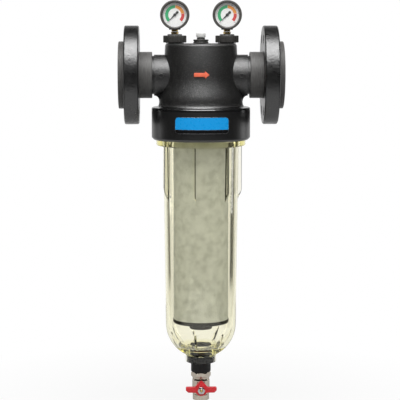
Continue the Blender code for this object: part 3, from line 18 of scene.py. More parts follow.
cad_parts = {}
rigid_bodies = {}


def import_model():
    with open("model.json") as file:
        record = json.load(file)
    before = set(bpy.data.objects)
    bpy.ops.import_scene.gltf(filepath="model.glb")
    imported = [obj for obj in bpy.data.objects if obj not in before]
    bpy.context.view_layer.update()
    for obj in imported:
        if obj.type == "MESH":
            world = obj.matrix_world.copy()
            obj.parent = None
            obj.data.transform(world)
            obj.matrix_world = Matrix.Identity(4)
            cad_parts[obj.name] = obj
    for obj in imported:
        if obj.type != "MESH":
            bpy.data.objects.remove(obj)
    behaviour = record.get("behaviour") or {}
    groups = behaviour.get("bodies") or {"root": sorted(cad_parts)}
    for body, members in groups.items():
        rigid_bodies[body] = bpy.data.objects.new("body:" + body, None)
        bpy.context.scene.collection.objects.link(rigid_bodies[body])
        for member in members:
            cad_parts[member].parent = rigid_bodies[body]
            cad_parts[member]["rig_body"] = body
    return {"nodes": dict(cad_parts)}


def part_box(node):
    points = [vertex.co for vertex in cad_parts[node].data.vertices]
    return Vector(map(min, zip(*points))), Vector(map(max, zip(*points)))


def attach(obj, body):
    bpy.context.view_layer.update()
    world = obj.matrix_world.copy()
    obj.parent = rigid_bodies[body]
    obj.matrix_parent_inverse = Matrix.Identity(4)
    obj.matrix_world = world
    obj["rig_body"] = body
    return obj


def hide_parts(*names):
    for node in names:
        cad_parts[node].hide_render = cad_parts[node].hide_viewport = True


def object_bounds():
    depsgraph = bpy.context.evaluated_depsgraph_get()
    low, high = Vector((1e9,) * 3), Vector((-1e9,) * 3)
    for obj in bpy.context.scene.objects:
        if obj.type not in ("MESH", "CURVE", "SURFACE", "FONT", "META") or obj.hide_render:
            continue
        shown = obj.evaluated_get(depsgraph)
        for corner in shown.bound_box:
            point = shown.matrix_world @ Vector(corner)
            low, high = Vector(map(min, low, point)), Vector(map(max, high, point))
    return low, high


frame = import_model()
cad_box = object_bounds()

# Where the frame puts things
PIPE_Z = sum(corner.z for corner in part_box("inlet_stub")) / 2
GAUGE_X = sum(corner.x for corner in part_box("outlet_gauge_dial")) / 2
GAUGE_Z = sum(corner.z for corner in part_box("outlet_gauge_dial")) / 2 - PIPE_Z
VALVE_Z = sum(corner.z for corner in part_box("valve_ball")) / 2 - PIPE_Z
FLANGE_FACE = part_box("outlet_stub")[1].x

# Clearances, and how far shapes reach into or past each other
SEAT_GAP = 0.0003
SHAFT_FIT = 0.0003
RING_PLAY = 0.0006
OVERLAP = 0.002         # of shapes that are joined
CUT_PAST = 0.005        # of a cutter, past the face that it opens

# Pipe connection
BORE_R = 0.0325
NIPPLE_R = 0.0382
NIPPLE_END = 0.0882
RELIEF_R = 0.0360
RELIEF_LENGTH = 0.0035
NIPPLE_ROOT = 0.008         # how far the inlet's nipple starts inside the chamber's wall
BORE_ROOT = 0.011           # and its bore
THREAD_R = 0.0376
THREAD_LENGTH = 0.0220
TEST_BOSS_X = 0.0750
TEST_BOSS_R = 0.0046
TEST_BOSS_BORE_R = 0.0028
TEST_BOSS_PROUD = 0.0016
TEST_BOSS_ROOT = 0.003
BARREL_R = 0.0434
FACE_COLLAR_R = 0.0630
FACE_COLLAR_THICK = 0.0107
FACE_GROOVES = 4
FACE_GROOVE_PITCH = 0.0050
FACE_GROOVE_HALF = 0.0007
FACE_GROOVE_DEPTH = 0.0005
FLANGE_R = 0.0925
FLANGE_THICK = 0.0276
FLANGE_ROUND = 0.0030
BOLT_CIRCLE_R = 0.0725
BOLT_HOLE_R = 0.0090
BOLT_HOLE_CHAMFER = 0.0008
BOLT_COUNT = 8
PORT_SEAL_THICK = 0.0017

# Head
HEAD_R = 0.0673
HEAD_TOP_Z = 0.0590
HEAD_ROUND = 0.0048
HEAD_WALL = 0.0093
ROOF_THICK = 0.0130
BELL_TOP_R = 0.0705
BELL_TOP_Z = -0.0120
BELL_R = 0.0787
BELL_SKIRT = 0.22
BELL_TOP_BEND = 0.110
BELL_SKIRT_BEND = 0.055
BELL_Z = -0.0500
SHOULDER_R = 0.0798
SHOULDER_ROUND = 0.0065
WEB_ROUND = 0.0095
WEB_HALF_THICK = 0.0090
TAPPING_R = 0.0030
TAPPING_COLUMN_R = 0.0076
TAPPING_REACH = 0.008
COLLAR_R = 0.0930
COLLAR_TOP_Z = -0.0600
COLLAR_HEIGHT = 0.0608
COLLAR_ROUND = 0.0030
COLLAR_CHAMFER = 0.0040
COLLAR_BORE_R = 0.0826
LEDGE_Z = -0.0860
CENTRE_TUBE_R = 0.0400
CENTRE_TUBE_END_Z = -0.0960
ELBOW_R = 0.0370

# Marks on the front
ARROW_Z = 0.0023
ARROW_LENGTH = 0.0285
ARROW_SHAFT = 0.0072
ARROW_HEAD = 0.0140
ARROW_HEAD_LENGTH = 0.0084
ARROW_THICK = 0.0012
LABEL_HALF_ANGLE = math.radians(32.0)
LABEL_TOP_Z = -0.0744
LABEL_HEIGHT = 0.0303
LABEL_CORNER = 0.0070
LABEL_BASE_THICK = 0.00045
LABEL_INK_THICK = 0.00015
LABEL_EDGE = 0.0007
LABEL_STRIP_TOP = 0.0228    # below the label's top
LABEL_STRIP_GAP = 0.0010

# Filter element
ELEMENT_R = 0.0525
FELT_THICK = 0.0024
FELT_WAVE = 0.0007
ELEMENT_FLANGE_THICK = 0.0080
ELEMENT_SPIGOT_LENGTH = 0.0200
ELEMENT_SPIGOT_WALL = 0.0055
ELEMENT_BOTTOM_Z = -0.4650
END_SPIGOT_R = 0.0465
END_SPIGOT_DEPTH = 0.0060
ELEMENT_SEAL_THICK = 0.0015
BASE_CAP_R = 0.0533
BASE_CAP_THICK = 0.0070
BASE_HUB_R = 0.0226
BASE_HUB_LENGTH = 0.0130
BASE_HUB_DRAFT = 0.0010
BASE_HUB_WALL = 0.0060
BASE_HUB_DEPTH = 0.0060
VANE_COUNT = 8
VANE_THICK = 0.0026
VANE_HUB_R = 0.0437
VANE_TIP_R = 0.0574
VANE_HEIGHT = 0.0330
VANE_TWIST = math.radians(48.0)
VANE_STEPS = 320

# Bowl
BOWL_NECK_INNER_R = 0.0670
BOWL_NECK_R = 0.0819
BOWL_FLANGE_R = 0.0844
BOWL_FLANGE_THICK = 0.0107
BOWL_STEP_R = 0.0778
BOWL_STEP_HEIGHT = 0.0012
BOWL_TOP_R = 0.0715
BOWL_FOOT_R = 0.0672
BOWL_WALL = 0.0050
BOWL_DOME_Z = -0.4750
BOWL_FLOOR_DROP = 0.0420
BOWL_SEAL_THICK = 0.0020
BOWL_SEAL_WIDTH = 0.0100
BOWL_THREAD = (0.0010, 0.0060)      # depth and pitch, as in all threads
RIB_COUNT = 7
RIB_THICK = 0.0052
RIB_DRAFT = 0.0010
RIB_R = 0.0776
RIB_LENGTH = 0.0829
RIB_RUNOUT = 0.0220
RIB_PHASE = math.radians(40.4)
FIN_DEPTH = 0.0090
FIN_TOP = 0.012         # below the dome's centre
FIN_RUNOUT = 0.020
OUTLET_BOSS_R = 0.0292
OUTLET_BOSS_DROP = 0.0750
COUNTERBORE_DEPTH = 0.0130

# Drain bushing and ball valve
BUSHING_SHANK_R = 0.0209
BUSHING_THREAD = (0.0007, 0.0023)
BUSHING_SUNK = 0.0010
BUSHING_FLANGE_R = 0.0262
BUSHING_BODY_R = 0.0190
BUSHING_BODY_LENGTH = 0.0203
DRAIN_GASKET_THICK = 0.0012
DRAIN_BORE_R = 0.0080
VALVE_SPIGOT_R = 0.0130
VALVE_SPIGOT_LENGTH = 0.0140
VALVE_HEX_ACROSS_FLATS = 0.0330
VALVE_HEX_HEIGHT = 0.0100
VALVE_R = 0.0167
VALVE_GROOVE_DEPTH = 0.0012
VALVE_BODY_LENGTH = 0.0430
VALVE_END_R = 0.0158
VALVE_END_LENGTH = 0.0114
VALVE_CAVITY_R = 0.0128
VALVE_OUTLET_R = 0.0095
VALVE_OUTLET_DEPTH = 0.0090
SEAT_REACH = 0.0110
BALL_R = 0.0124
BALL_SLOT_HALF = 0.0016
BALL_SLOT_DEPTH = 0.0030
STEM_R = 0.0039
STEM_BOSS_R = 0.0092
STEM_BOSS_REACH = 0.0255
STEM_START = 0.0098
STEM_TONGUE_END = 0.0122
STEM_TONGUE_HALF = 0.0013
STEM_FLATS_START = 0.0297
STEM_FLATS_HALF = 0.0028
PACKING_R = 0.0067
PACKING_START = 0.0180
GLAND_SHANK_R = 0.0064
GLAND_SHANK_START = 0.0218
GLAND_HEX_R = 0.0092
GLAND_HEX_HEIGHT = 0.0038
HANDLE_THICK = 0.0080
HANDLE_HALF_SPAN = 0.0295
HANDLE_WING_HEIGHT = 0.0110
HANDLE_HUB_R = 0.0120
HANDLE_PEAK = 0.0180
HANDLE_NECK_X = 0.0086
HANDLE_NECK_Z = 0.0096
HANDLE_HUB_START = 0.0108
HANDLE_BEVEL = 0.0045
HANDLE_ROUND = 0.0022
HANDLE_HOLE_HALF = 0.0031
HANDLE_RIM = 0.0016
STUD_R = 0.0026
STUD_LENGTH = 0.0058
STUD_POINT = 0.0006
STUD_THREAD = (0.0004, 0.0009)
HANDLE_NUT_R = 0.0073
HANDLE_NUT_HEIGHT = 0.0045

# Gauges
PLUG_R = 0.0202
PLUG_LOBE = 0.0018
PLUG_LOBES = 6
PLUG_GRIPS = 42
PLUG_GRIP_DEPTH = 0.0005
PLUG_HEIGHT = 0.0131
PLUG_ROUND = 0.0012
PLUG_NECK_R = 0.0138
PLUG_NECK_HEIGHT = 0.0025
PLUG_SHANK_R = 0.0120
PLUG_SHANK_LENGTH = 0.0125
PLUG_THREAD = (0.0006, 0.0018)
PLUG_THREAD_START = 0.0015
PLUG_SEAL_R = 0.0170
PLUG_SEAL_THICK = 0.0012
STEM_HEX_R = 0.0070
STEM_HEX_HEIGHT = 0.0043
GAUGE_SHANK_R = 0.0055
GAUGE_SHANK_LENGTH = 0.0200
GAUGE_THREAD = (0.0005, 0.0013)
GAUGE_THREAD_START = 0.0010
GAUGE_PORT_R = 0.0016
CASE_R = 0.0254
CASE_WALL = 0.0018
CASE_FRONT = 0.0090
CASE_BACK = 0.0130
CASE_NECK_R = 0.0062
CASE_LUG_WIDTH = 0.0216
CASE_LUG_BOTTOM_Z = 0.0847
CASE_LUG_ROUND = 0.0018
DIAL_SET_BACK = 0.0030
DIAL_THICK = 0.0008
LENS_THICK = 0.0015
BEZEL_R = 0.0275
BEZEL_LIP_R = 0.0225
BEZEL_LIP_THICK = 0.0024
BEZEL_SKIRT = 0.0045
BEZEL_NOTCH_HALF = 0.0014
BEZEL_NOTCH_DEPTH = 0.0007
BEZEL_NOTCH_START = 0.0001
BEZEL_NOTCH_END = 0.0030
ARBOR_R = 0.0010
BEARING_POST_R = 0.0040
ARBOR_DEPTH = 0.0060
POINTER_TIP = 0.0188
POINTER_HALF = 0.0012
POINTER_TAIL = 0.0087
POINTER_TAIL_HALF = 0.0022
POINTER_THICK = 0.0006
POINTER_HUB_R = 0.0028
POINTER_LIFT = 0.0008
POINTER_CAP = 0.0003
BAND_INNER_R = 0.0122
BAND_OUTER_R = 0.0180
BANDS = (("green", -135.0, 3.0), ("amber", 3.0, 81.0), ("red", 81.0, 135.0))
INK_THICK = 0.00006
TICK_INNER_R = 0.0183
TICK_OUTER_R = 0.0196
SCALE_START = -135.0
SCALE_TURN = 270.0
SCALE_STEPS = 20
LONG_TICK_EVERY = 4
NUMBER_R = 0.0210
NUMBER_SIZE = 0.0023

# Air bleed
BLEED_BASE_R = 0.0144
BLEED_BASE_HEIGHT = 0.0072
BLEED_WAIST = 0.0010
BLEED_WAIST_HALF = 0.0004
BLEED_WAIST_SLOPE = 0.0010
BLEED_NECK_R = 0.0077
BLEED_NECK_HEIGHT = 0.0037
BLEED_SHANK_R = 0.0080
BLEED_SHANK_LENGTH = 0.0110
BLEED_KNOB_R = 0.0087
BLEED_KNOB_HEIGHT = 0.0079
BLEED_SCREW_R = 0.0040
BLEED_SCREW_LENGTH = 0.0150
BLEED_THREAD = (0.0005, 0.0015)
BLEED_THREAD_START = 0.0020
BLEED_SEAL_R = 0.0060
BLEED_SEAL_THICK = 0.0015
KNURLS = 36
KNURL_DEPTH = 0.0003

# Camera, from the photograph's perspective
CAMERA_DISTANCE = 2.640
CAMERA_HEIGHT = 0.7103
CAMERA_AZIMUTH = math.radians(-1.3)
CAMERA_TILT = math.radians(6.959)
CAMERA_YAW = math.radians(0.037)
CAMERA_LENS = 125.68
SENSOR_WIDTH = 36.0

# Light and floor. The pairs say where the world changes with the direction
# looked in, by the direction's x, y or z.
WORLD_FILL = 0.25
MIRROR_BACK = (0.55, 0.88)          # y, from dark to white
MIRROR_UP = (0.20, 0.65)            # z, from white to dark
BESIDE_INNER = (0.026, 0.034)       # x squared, where the dark sides begin
BESIDE_OUTER = (0.110, 0.160)       # x squared, where they end
BESIDE_BACK = (0.0, 0.1)            # y, as they lie behind the part only
BESIDE_LOW = (-0.190, -0.176)       # z, where they fade out downwards
BESIDE_LEVEL = 0.05
DARK_LEVEL = 0.03
INSIDE_LEVEL = 1.25
FLOOR_GLOSS = 0.2
FLOOR_COLOUR = (195, 195, 195)
FLOOR_GLOW = 0.90
FLOOR_FADE = (0.25, 0.65)
FLOOR_HALF_WIDTH = 0.80
FLOOR_HALF_DEPTH = 1.15
FLOOR_BACK = -0.10
FLOOR_DROP = 0.032       # room for the bowl as it unscrews
LAMP_TARGET = (0.0, 0.0, 0.5)
LAMPS = (
    ("key_top", (0.0, -0.9, 2.4), 2.0, 1.7, 76.0),
    ("side_left", (-1.7, 0.7, 0.6), 0.25, 1.0, 1.5),
    ("side_right", (1.7, 0.7, 0.6), 0.25, 1.0, 2.5),
)

# Steps round a full turn
LARGE = 144
MEDIUM = 96
SMALL = 64
FINE = 48
COARSE = 32

# Faces that meet at more than this look sharp
SHARP_ANGLE = math.radians(32.0)
# Pitch of Blender's wave texture at a scale of 1
WAVE_PITCH = 0.314

# Measures that follow
COLLAR_BOTTOM_Z = COLLAR_TOP_Z - COLLAR_HEIGHT
ROOF_Z = HEAD_TOP_Z - ROOF_THICK
CHAMBER_R = HEAD_R - HEAD_WALL
BOWL_RIM_Z = LEDGE_Z - BOWL_SEAL_THICK - 2 * SEAT_GAP
BOWL_FLANGE_Z = COLLAR_BOTTOM_Z - SEAT_GAP
BOWL_STEP_Z = BOWL_FLANGE_Z - BOWL_FLANGE_THICK
BOWL_WALL_Z = BOWL_STEP_Z - BOWL_STEP_HEIGHT
ELEMENT_TOP_Z = CENTRE_TUBE_END_Z - ELEMENT_SEAL_THICK - 2 * SEAT_GAP
FELT_TOP_Z = ELEMENT_TOP_Z - ELEMENT_FLANGE_THICK - SEAT_GAP
FELT_BOTTOM_Z = ELEMENT_BOTTOM_Z + SEAT_GAP
BOWL_FLOOR_Z = BOWL_DOME_Z - BOWL_FLOOR_DROP
RIB_END_Z = BOWL_WALL_Z - RIB_LENGTH
RUNOUT_END_Z = RIB_END_Z - RIB_RUNOUT
RIB_START = RIB_PHASE - math.pi / 2
BOWL_INNER_R = BOWL_FOOT_R - BOWL_WALL
OUTLET_BOSS_Z = BOWL_DOME_Z - OUTLET_BOSS_DROP
COUNTERBORE_Z = OUTLET_BOSS_Z + COUNTERBORE_DEPTH
BUSHING_TOP_Z = COUNTERBORE_Z - DRAIN_GASKET_THICK - 2 * SEAT_GAP
BUSHING_END_Z = OUTLET_BOSS_Z - BUSHING_BODY_LENGTH
VALVE_TOP_Z = BUSHING_END_Z - SEAT_GAP
VALVE_BODY_END_Z = VALVE_TOP_Z - VALVE_BODY_LENGTH
VALVE_END_TOP_Z = VALVE_BODY_END_Z - SEAT_GAP
VALVE_BOTTOM_Z = VALVE_END_TOP_Z - VALVE_END_LENGTH
HANDLE_BACK = STEM_BOSS_REACH + GLAND_HEX_HEIGHT + 2 * SEAT_GAP
HANDLE_FRONT = HANDLE_BACK + HANDLE_THICK
AT_VALVE = (0.0, 0.0, VALVE_Z)
BARREL_START = NIPPLE_END + RELIEF_LENGTH
THREAD_END = BARREL_START + THREAD_LENGTH
SOCKET_END = THREAD_END + PORT_SEAL_THICK + 2 * SEAT_GAP
COLLAR_BACK = FLANGE_FACE - FACE_COLLAR_THICK
PLUG_BOTTOM_Z = HEAD_TOP_Z + PLUG_SEAL_THICK + 2 * SEAT_GAP
PLUG_TOP_Z = PLUG_BOTTOM_Z + PLUG_HEIGHT
PLUG_NECK_TOP_Z = PLUG_TOP_Z + PLUG_NECK_HEIGHT
STEM_BASE_Z = PLUG_NECK_TOP_Z + SEAT_GAP
STEM_TOP_Z = STEM_BASE_Z + STEM_HEX_HEIGHT
POST_FRONT = CASE_FRONT - DIAL_SET_BACK
DIAL_BACK = POST_FRONT + SEAT_GAP
DIAL_FRONT = DIAL_BACK + DIAL_THICK
LENS_BACK = CASE_FRONT + SEAT_GAP
LENS_FRONT = LENS_BACK + LENS_THICK
BEZEL_LIP_BACK = LENS_FRONT + SEAT_GAP
BEZEL_FRONT = BEZEL_LIP_BACK + BEZEL_LIP_THICK
BEZEL_BACK = BEZEL_LIP_BACK - BEZEL_SKIRT
BLEED_BASE_Z = HEAD_TOP_Z + SEAT_GAP
BLEED_NECK_TOP_Z = BLEED_BASE_Z + BLEED_BASE_HEIGHT + BLEED_NECK_HEIGHT
BLEED_KNOB_Z = BLEED_NECK_TOP_Z + SEAT_GAP

# Turns that lay a shape made about Z along another axis
ALONG_X = Matrix.Rotation(math.radians(90.0), 4, "Y")
ALONG_MINUS_X = Matrix.Rotation(math.radians(-90.0), 4, "Y")
TO_FRONT = Matrix.Rotation(math.radians(90.0), 4, "X")
SIDES = (("inlet", -1.0, ALONG_MINUS_X), ("outlet", 1.0, ALONG_X))


# Shader nodes and materials

def linear(red, green, blue):
    """A colour given as the eye sees it, 0 to 255, turned to scene light."""
    shares = []
    for value in (red, green, blue):
        share = value / 255
        shares.append(share / 12.92 if share <= 0.04045 else ((share + 0.055) / 1.055) ** 2.4)
    return (*shares, 1.0)


def set_inputs(tree, node, inputs):
    """Set a node's inputs, or link outputs to them."""
    for key, value in inputs.items():
        socket = node.inputs[key.replace("_", " ") if isinstance(key, str) else key]
        if isinstance(value, bpy.types.NodeSocket):
            tree.links.new(value, socket)
        else:
            socket.default_value = value


def new_node(tree, kind, **inputs):
    """A shader node with its inputs set or linked."""
    node = tree.nodes.new("ShaderNode" + kind)
    set_inputs(tree, node, inputs)
    return node


def range_of(tree, value, low, high, at_low=0.0, at_high=1.0):
    """A value mapped from one range to another and held at its ends."""
    return new_node(tree, "MapRange", Value=value, From_Min=low, From_Max=high, To_Min=at_low,
                    To_Max=at_high).outputs["Result"]


def combined(tree, operation, *values):
    """Values joined one after another by a Math node's operation."""
    joined = values[0]
    for value in values[1:]:
        node = new_node(tree, "Math")
        node.operation = operation
        set_inputs(tree, node, {0: joined, 1: value})
        joined = node.outputs["Value"]
    return joined


def mixed(tree, share, first, second):
    """Two shaders mixed by a share."""
    node = new_node(tree, "MixShader", Fac=share)
    set_inputs(tree, node, {1: first, 2: second})
    return node.outputs[0]


def object_point(tree, stretch=(1.0, 1.0, 1.0)):
    """The place on the piece, in metres, stretched along its axes."""
    place = new_node(tree, "TexCoord").outputs["Object"]
    return new_node(tree, "Mapping", Vector=place, Scale=stretch).outputs["Vector"]


def noise_of(tree, size, detail, stretch=(1.0, 1.0, 1.0)):
    """Noise from 0 to 1 with blobs of about the given size."""
    point = object_point(tree, stretch)
    return new_node(tree, "TexNoise", Vector=point, Scale=1.0 / size, Detail=detail).outputs["Fac"]


def bands_of(tree, pitch, axis, wander):
    """Fine parallel bands across an axis, such as a lathe tool leaves."""
    node = new_node(tree, "TexWave", Vector=object_point(tree), Scale=WAVE_PITCH / pitch,
                    Distortion=wander)
    node.bands_direction = axis
    return node.outputs["Fac"]


def ramp_of(tree, factor, *stops):
    """A colour ramp; each stop is a place and a colour or a grey value."""
    node = new_node(tree, "ValToRGB", Fac=factor)
    elements = node.color_ramp.elements
    while len(elements) < len(stops):
        elements.new(0.5)
    for element, (place, colour) in zip(elements, stops):
        element.position = place
        element.color = linear(*colour) if isinstance(colour, tuple) else (colour,) * 3 + (1.0,)
    return node.outputs["Color"]


def paint(tree, socket, output):
    """Drive one of the shader's sockets from a texture."""
    tree.links.new(output, tree.nodes["Principled BSDF"].inputs[socket])


def add_bump(tree, height, depth):
    """Raise the surface by a height texture, on top of earlier bumps."""
    bump = new_node(tree, "Bump", Height=height, Distance=depth)
    normal = tree.nodes["Principled BSDF"].inputs["Normal"]
    if normal.is_linked:
        set_inputs(tree, bump, {"Normal": normal.links[0].from_socket})
    paint(tree, "Normal", bump.outputs["Normal"])


def above_height(tree, low, high):
    """From 0 below one height of the piece to 1 above another."""
    split = new_node(tree, "SeparateXYZ", Vector=object_point(tree))
    return range_of(tree, split.outputs["Z"], low, high)


def new_material(name, colour, roughness, tint=None, gloss=None, bumps=(), **settings):
    """A Principled material whose colour and roughness wander over noise.

    tint and gloss are a noise's size and detail and the ramp's stops. A bump is
    a noise's size, detail and depth, and its stretch if it has one. Settings
    name the shader's other sockets.
    """
    mat = bpy.data.materials.new(name)
    mat.use_nodes = True
    tree = mat.node_tree
    settings.update(Base_Color=linear(*colour), Roughness=roughness)
    set_inputs(tree, tree.nodes["Principled BSDF"], settings)
    for socket, recipe in (("Base Color", tint), ("Roughness", gloss)):
        if recipe:
            size, detail, *stops = recipe
            paint(tree, socket, ramp_of(tree, noise_of(tree, size, detail), *stops))
    for size, detail, depth, *stretch in bumps:
        add_bump(tree, noise_of(tree, size, detail, *stretch), depth)
    return mat


def darker(colour):
    """A colour's slightly darker shade."""
    return tuple(int(value * 0.94) for value in colour)


def head_plastic():
    """Black glass-filled plastic: grainy on the body, satin on the collar."""
    mat = new_material("head_plastic", (20, 20, 21), 0.42, Specular_IOR_Level=0.85, IOR=1.65)
    tree = mat.node_tree
    body = above_height(tree, COLLAR_TOP_Z + 0.001, COLLAR_TOP_Z + 0.003)
    flecks = combined(tree, "MULTIPLY", noise_of(tree, 0.0017, 2.0), body)
    paint(tree, "Base Color", ramp_of(tree, flecks, (0.0, (14, 14, 14)), (0.54, (17, 17, 17)),
                                      (0.70, (78, 77, 75))))
    rim = above_height(tree, COLLAR_TOP_Z - 0.006, BELL_TOP_Z)
    paint(tree, "Roughness", ramp_of(tree, rim, (0.0, 0.38), (0.02, 0.22), (0.16, 0.22),
                                     (0.18, 0.40), (1.0, 0.34)))
    grain = combined(tree, "MULTIPLY", noise_of(tree, 0.0011, 2.0), body)
    add_bump(tree, grain, 0.00060)
    add_bump(tree, noise_of(tree, 0.006, 2.0), 0.00010)
    return mat


def pvc_grey():
    """Turned grey pipe plastic with fine tool marks round it."""
    mat = new_material("pvc_grey", (90, 89, 88), 0.46, Specular_IOR_Level=0.40)
    tree = mat.node_tree
    shade = noise_of(tree, 0.012, 4.0, (6.0, 1.0, 1.0))
    paint(tree, "Base Color", ramp_of(tree, shade, (0.3, (82, 81, 80)), (0.7, (102, 101, 99))))
    add_bump(tree, bands_of(tree, 0.0012, "X", 0.6), 0.00012)
    add_bump(tree, noise_of(tree, 0.0008, 2.0), 0.00008)
    return mat


def flange_black():
    """Satin black coating with a soft orange peel."""
    return new_material("flange_black", (14, 14, 14), 0.34,
                        (0.003, 4.0, (0.4, (11, 11, 11)), (0.8, (26, 26, 26))),
                        (0.010, 4.0, (0.3, 0.26), (0.7, 0.38)),
                        ((0.0035, 3.0, 0.00050), (0.0009, 2.0, 0.00012)),
                        Specular_IOR_Level=0.95, IOR=1.60)


def rubber():
    """Matt black rubber with a trace of talc."""
    return new_material("rubber", (26, 26, 26), 0.75,
                        (0.004, 5.0, (0.4, (22, 22, 22)), (0.8, (46, 46, 46))),
                        bumps=((0.0007, 3.0, 0.00010),), Specular_IOR_Level=0.30)


def printed(name, colour, roughness):
    """Printed film: even colour under a slightly wavy gloss."""
    brighter = tuple(min(255, value + 4) for value in colour)
    return new_material(name, colour, roughness,
                        (0.012, 4.0, (0.3, colour), (0.8, brighter)),
                        (0.006, 3.0, (0.3, roughness - 0.06), (0.7, roughness + 0.06)),
                        ((0.009, 2.0, 0.00006),), Specular_IOR_Level=0.45)


def moulded(name, colour, roughness):
    """Smooth moulded plastic with a faint skin texture."""
    return new_material(name, colour, roughness,
                        (0.010, 4.0, (0.3, darker(colour)), (0.7, colour)),
                        (0.005, 4.0, (0.3, roughness - 0.06), (0.7, roughness + 0.08)),
                        ((0.0009, 2.0, 0.00005), (0.0060, 2.0, 0.00012)),
                        Specular_IOR_Level=0.45)


def felt():
    """Needled felt: matted fibres, small pits and a soft mottle."""
    return new_material("felt", (200, 200, 196), 0.95,
                        (0.0140, 6.0, (0.34, (190, 193, 188)), (0.50, (206, 209, 205)),
                         (0.68, (215, 218, 214))),
                        bumps=((0.0040, 5.0, 0.0006), (0.0014, 4.0, 0.0006, (1.0, 1.0, 0.25))),
                        Specular_IOR_Level=0.15, Sheen_Weight=0.15, Sheen_Roughness=0.6)


def metal(name, colour, roughness, grain):
    """Plated or machined metal with faint tool marks and cloudy gloss."""
    return new_material(name, colour, roughness,
                        (0.005, 5.0, (0.3, darker(colour)), (0.65, colour)),
                        (0.0035, 5.0, (0.3, roughness - 0.03), (0.7, roughness + 0.04)),
                        ((0.0024, 2.0, grain, (1.0, 1.0, 0.3)),), Metallic=1.0)


def clear_lens():
    """Thin clear acrylic, almost unseen but for its gloss."""
    return new_material("lens", (252, 253, 253), 0.04, bumps=((0.020, 1.0, 0.00002),), Alpha=0.035)


def bowl_clear():
    """Clear polycarbonate, faintly straw-coloured where it is thick."""
    mat = new_material("bowl_clear", (255, 254, 250), 0.03,
                       bumps=((0.030, 1.0, 0.00012, (1.0, 1.0, 0.3)),),
                       Transmission_Weight=1.0, IOR=1.50)
    tree = mat.node_tree
    absorb = new_node(tree, "VolumeAbsorption", Color=(0.976, 0.964, 0.810, 1.0), Density=105.0)
    tree.links.new(absorb.outputs["Volume"], tree.nodes["Material Output"].inputs["Volume"])
    return mat


MOULDED = {
    "arrow_red": ((240, 114, 84), 0.45),
    "white_plastic": ((222, 222, 218), 0.40),
    "gauge_black": ((38, 38, 38), 0.28),
    # The plugs' and bleed seat's black plastic, lifted to grey: a painted reflection of the front
    # light
    "plug_black_painted_sheen": ((64, 63, 61), 0.28),
    "satin_black": ((24, 24, 24), 0.60),
    "bezel_grey": ((86, 84, 81), 0.30),
    "pointer": ((18, 18, 18), 0.40),
    "knob_white": ((236, 236, 233), 0.45),
    "seat_white": ((224, 224, 220), 0.40),
    "handle_red": ((222, 46, 54), 0.34),
}
PRINTED = {
    "label_blue": ((20, 156, 230), 0.30),
    "label_black": ((16, 16, 18), 0.30),
    "dial": ((246, 246, 244), 0.45),
    "ink_green": ((0, 172, 104), 0.45),
    "ink_amber": ((240, 150, 45), 0.45),
    "ink_red": ((214, 52, 48), 0.45),
    "ink_black": ((22, 22, 22), 0.45),
}
METALS = {
    "label_silver": ((205, 207, 210), 0.30, 0.00002),
    "brass": ((205, 176, 112), 0.28, 0.00006),
    "nickel": ((222, 211, 196), 0.18, 0.00001),
    "steel": ((214, 214, 214), 0.22, 0.00004),
}


def make_materials():
    """Every finish, by the record's slot names, and the inks of the prints."""
    finishes = {
        "head_plastic": head_plastic(),
        "pvc_grey": pvc_grey(),
        "flange_black": flange_black(),
        "rubber": rubber(),
        "felt": felt(),
        "lens": clear_lens(),
        "bowl_clear": bowl_clear(),
    }
    for make, table in ((moulded, MOULDED), (printed, PRINTED), (metal, METALS)):
        finishes.update({name: make(name, *values) for name, values in table.items()})
    return finishes


MATERIALS = make_materials()


# Shapes

def full_turn(steps, phase=0.0):
    """Evenly spaced angles round a turn."""
    return [phase + 2 * math.pi * step / steps for step in range(steps)]


def join_rings(bm, ring, after):
    """Faces between two rings of vertices; a ring of one is a point."""
    if len(ring) == 1 and len(after) == 1:
        return
    count = max(len(ring), len(after))
    for step in range(count):
        there = (step + 1) % count
        corners = (ring[step % len(ring)], ring[there % len(ring)],
                   after[there % len(after)], after[step % len(after)])
        bm.faces.new(dict.fromkeys(corners))


def turned(section, angles):
    """Spin a closed section of (radius, z) points about Z.

    A radius may be a function of angle and height.
    """
    bm = bmesh.new()
    rings = []
    for radius, z in section:
        ring = []
        if radius == 0.0:
            ring.append(bm.verts.new((0.0, 0.0, z)))
        else:
            for angle in angles:
                reach = radius(angle, z) if callable(radius) else radius
                spot = (reach * math.cos(angle), reach * math.sin(angle), z)
                ring.append(bm.verts.new(spot))
        rings.append(ring)
    for ring, after in zip(rings, rings[1:] + rings[:1]):
        join_rings(bm, ring, after)
    bmesh.ops.recalc_face_normals(bm, faces=bm.faces)
    return bm


def laid(bm, turn):
    """Turn a shape made about Z, and return it."""
    bm.transform(turn)
    return bm


def moved(bm, x=0.0, y=0.0, z=0.0):
    """Shift a shape, and return it."""
    bmesh.ops.translate(bm, verts=bm.verts, vec=(x, y, z))
    return bm


def mesh_of(bm, name):
    """A shape as a mesh."""
    mesh = bpy.data.meshes.new(name)
    bm.to_mesh(mesh)
    bm.free()
    return mesh


def in_scene(name, data):
    """A new object in the scene."""
    obj = bpy.data.objects.new(name, data)
    bpy.context.scene.collection.objects.link(obj)
    return obj


def taken(obj, *helpers):
    """An object's final mesh as a shape; the object and its helpers are removed."""
    graph = bpy.context.evaluated_depsgraph_get()
    mesh = bpy.data.meshes.new_from_object(obj.evaluated_get(graph))
    bm = bmesh.new()
    bm.from_mesh(mesh)
    bpy.data.meshes.remove(mesh)
    for used in (obj, *helpers):
        bpy.data.objects.remove(used)
    return bm


def merged(*shapes):
    """Several shapes as one bmesh, not joined at their faces."""
    whole = bmesh.new()
    for bm in shapes:
        mesh = mesh_of(bm, "part")
        whole.from_mesh(mesh)
        bpy.data.meshes.remove(mesh)
    return whole


def clamped(share):
    """A share held between 0 and 1."""
    return min(1.0, max(0.0, share))


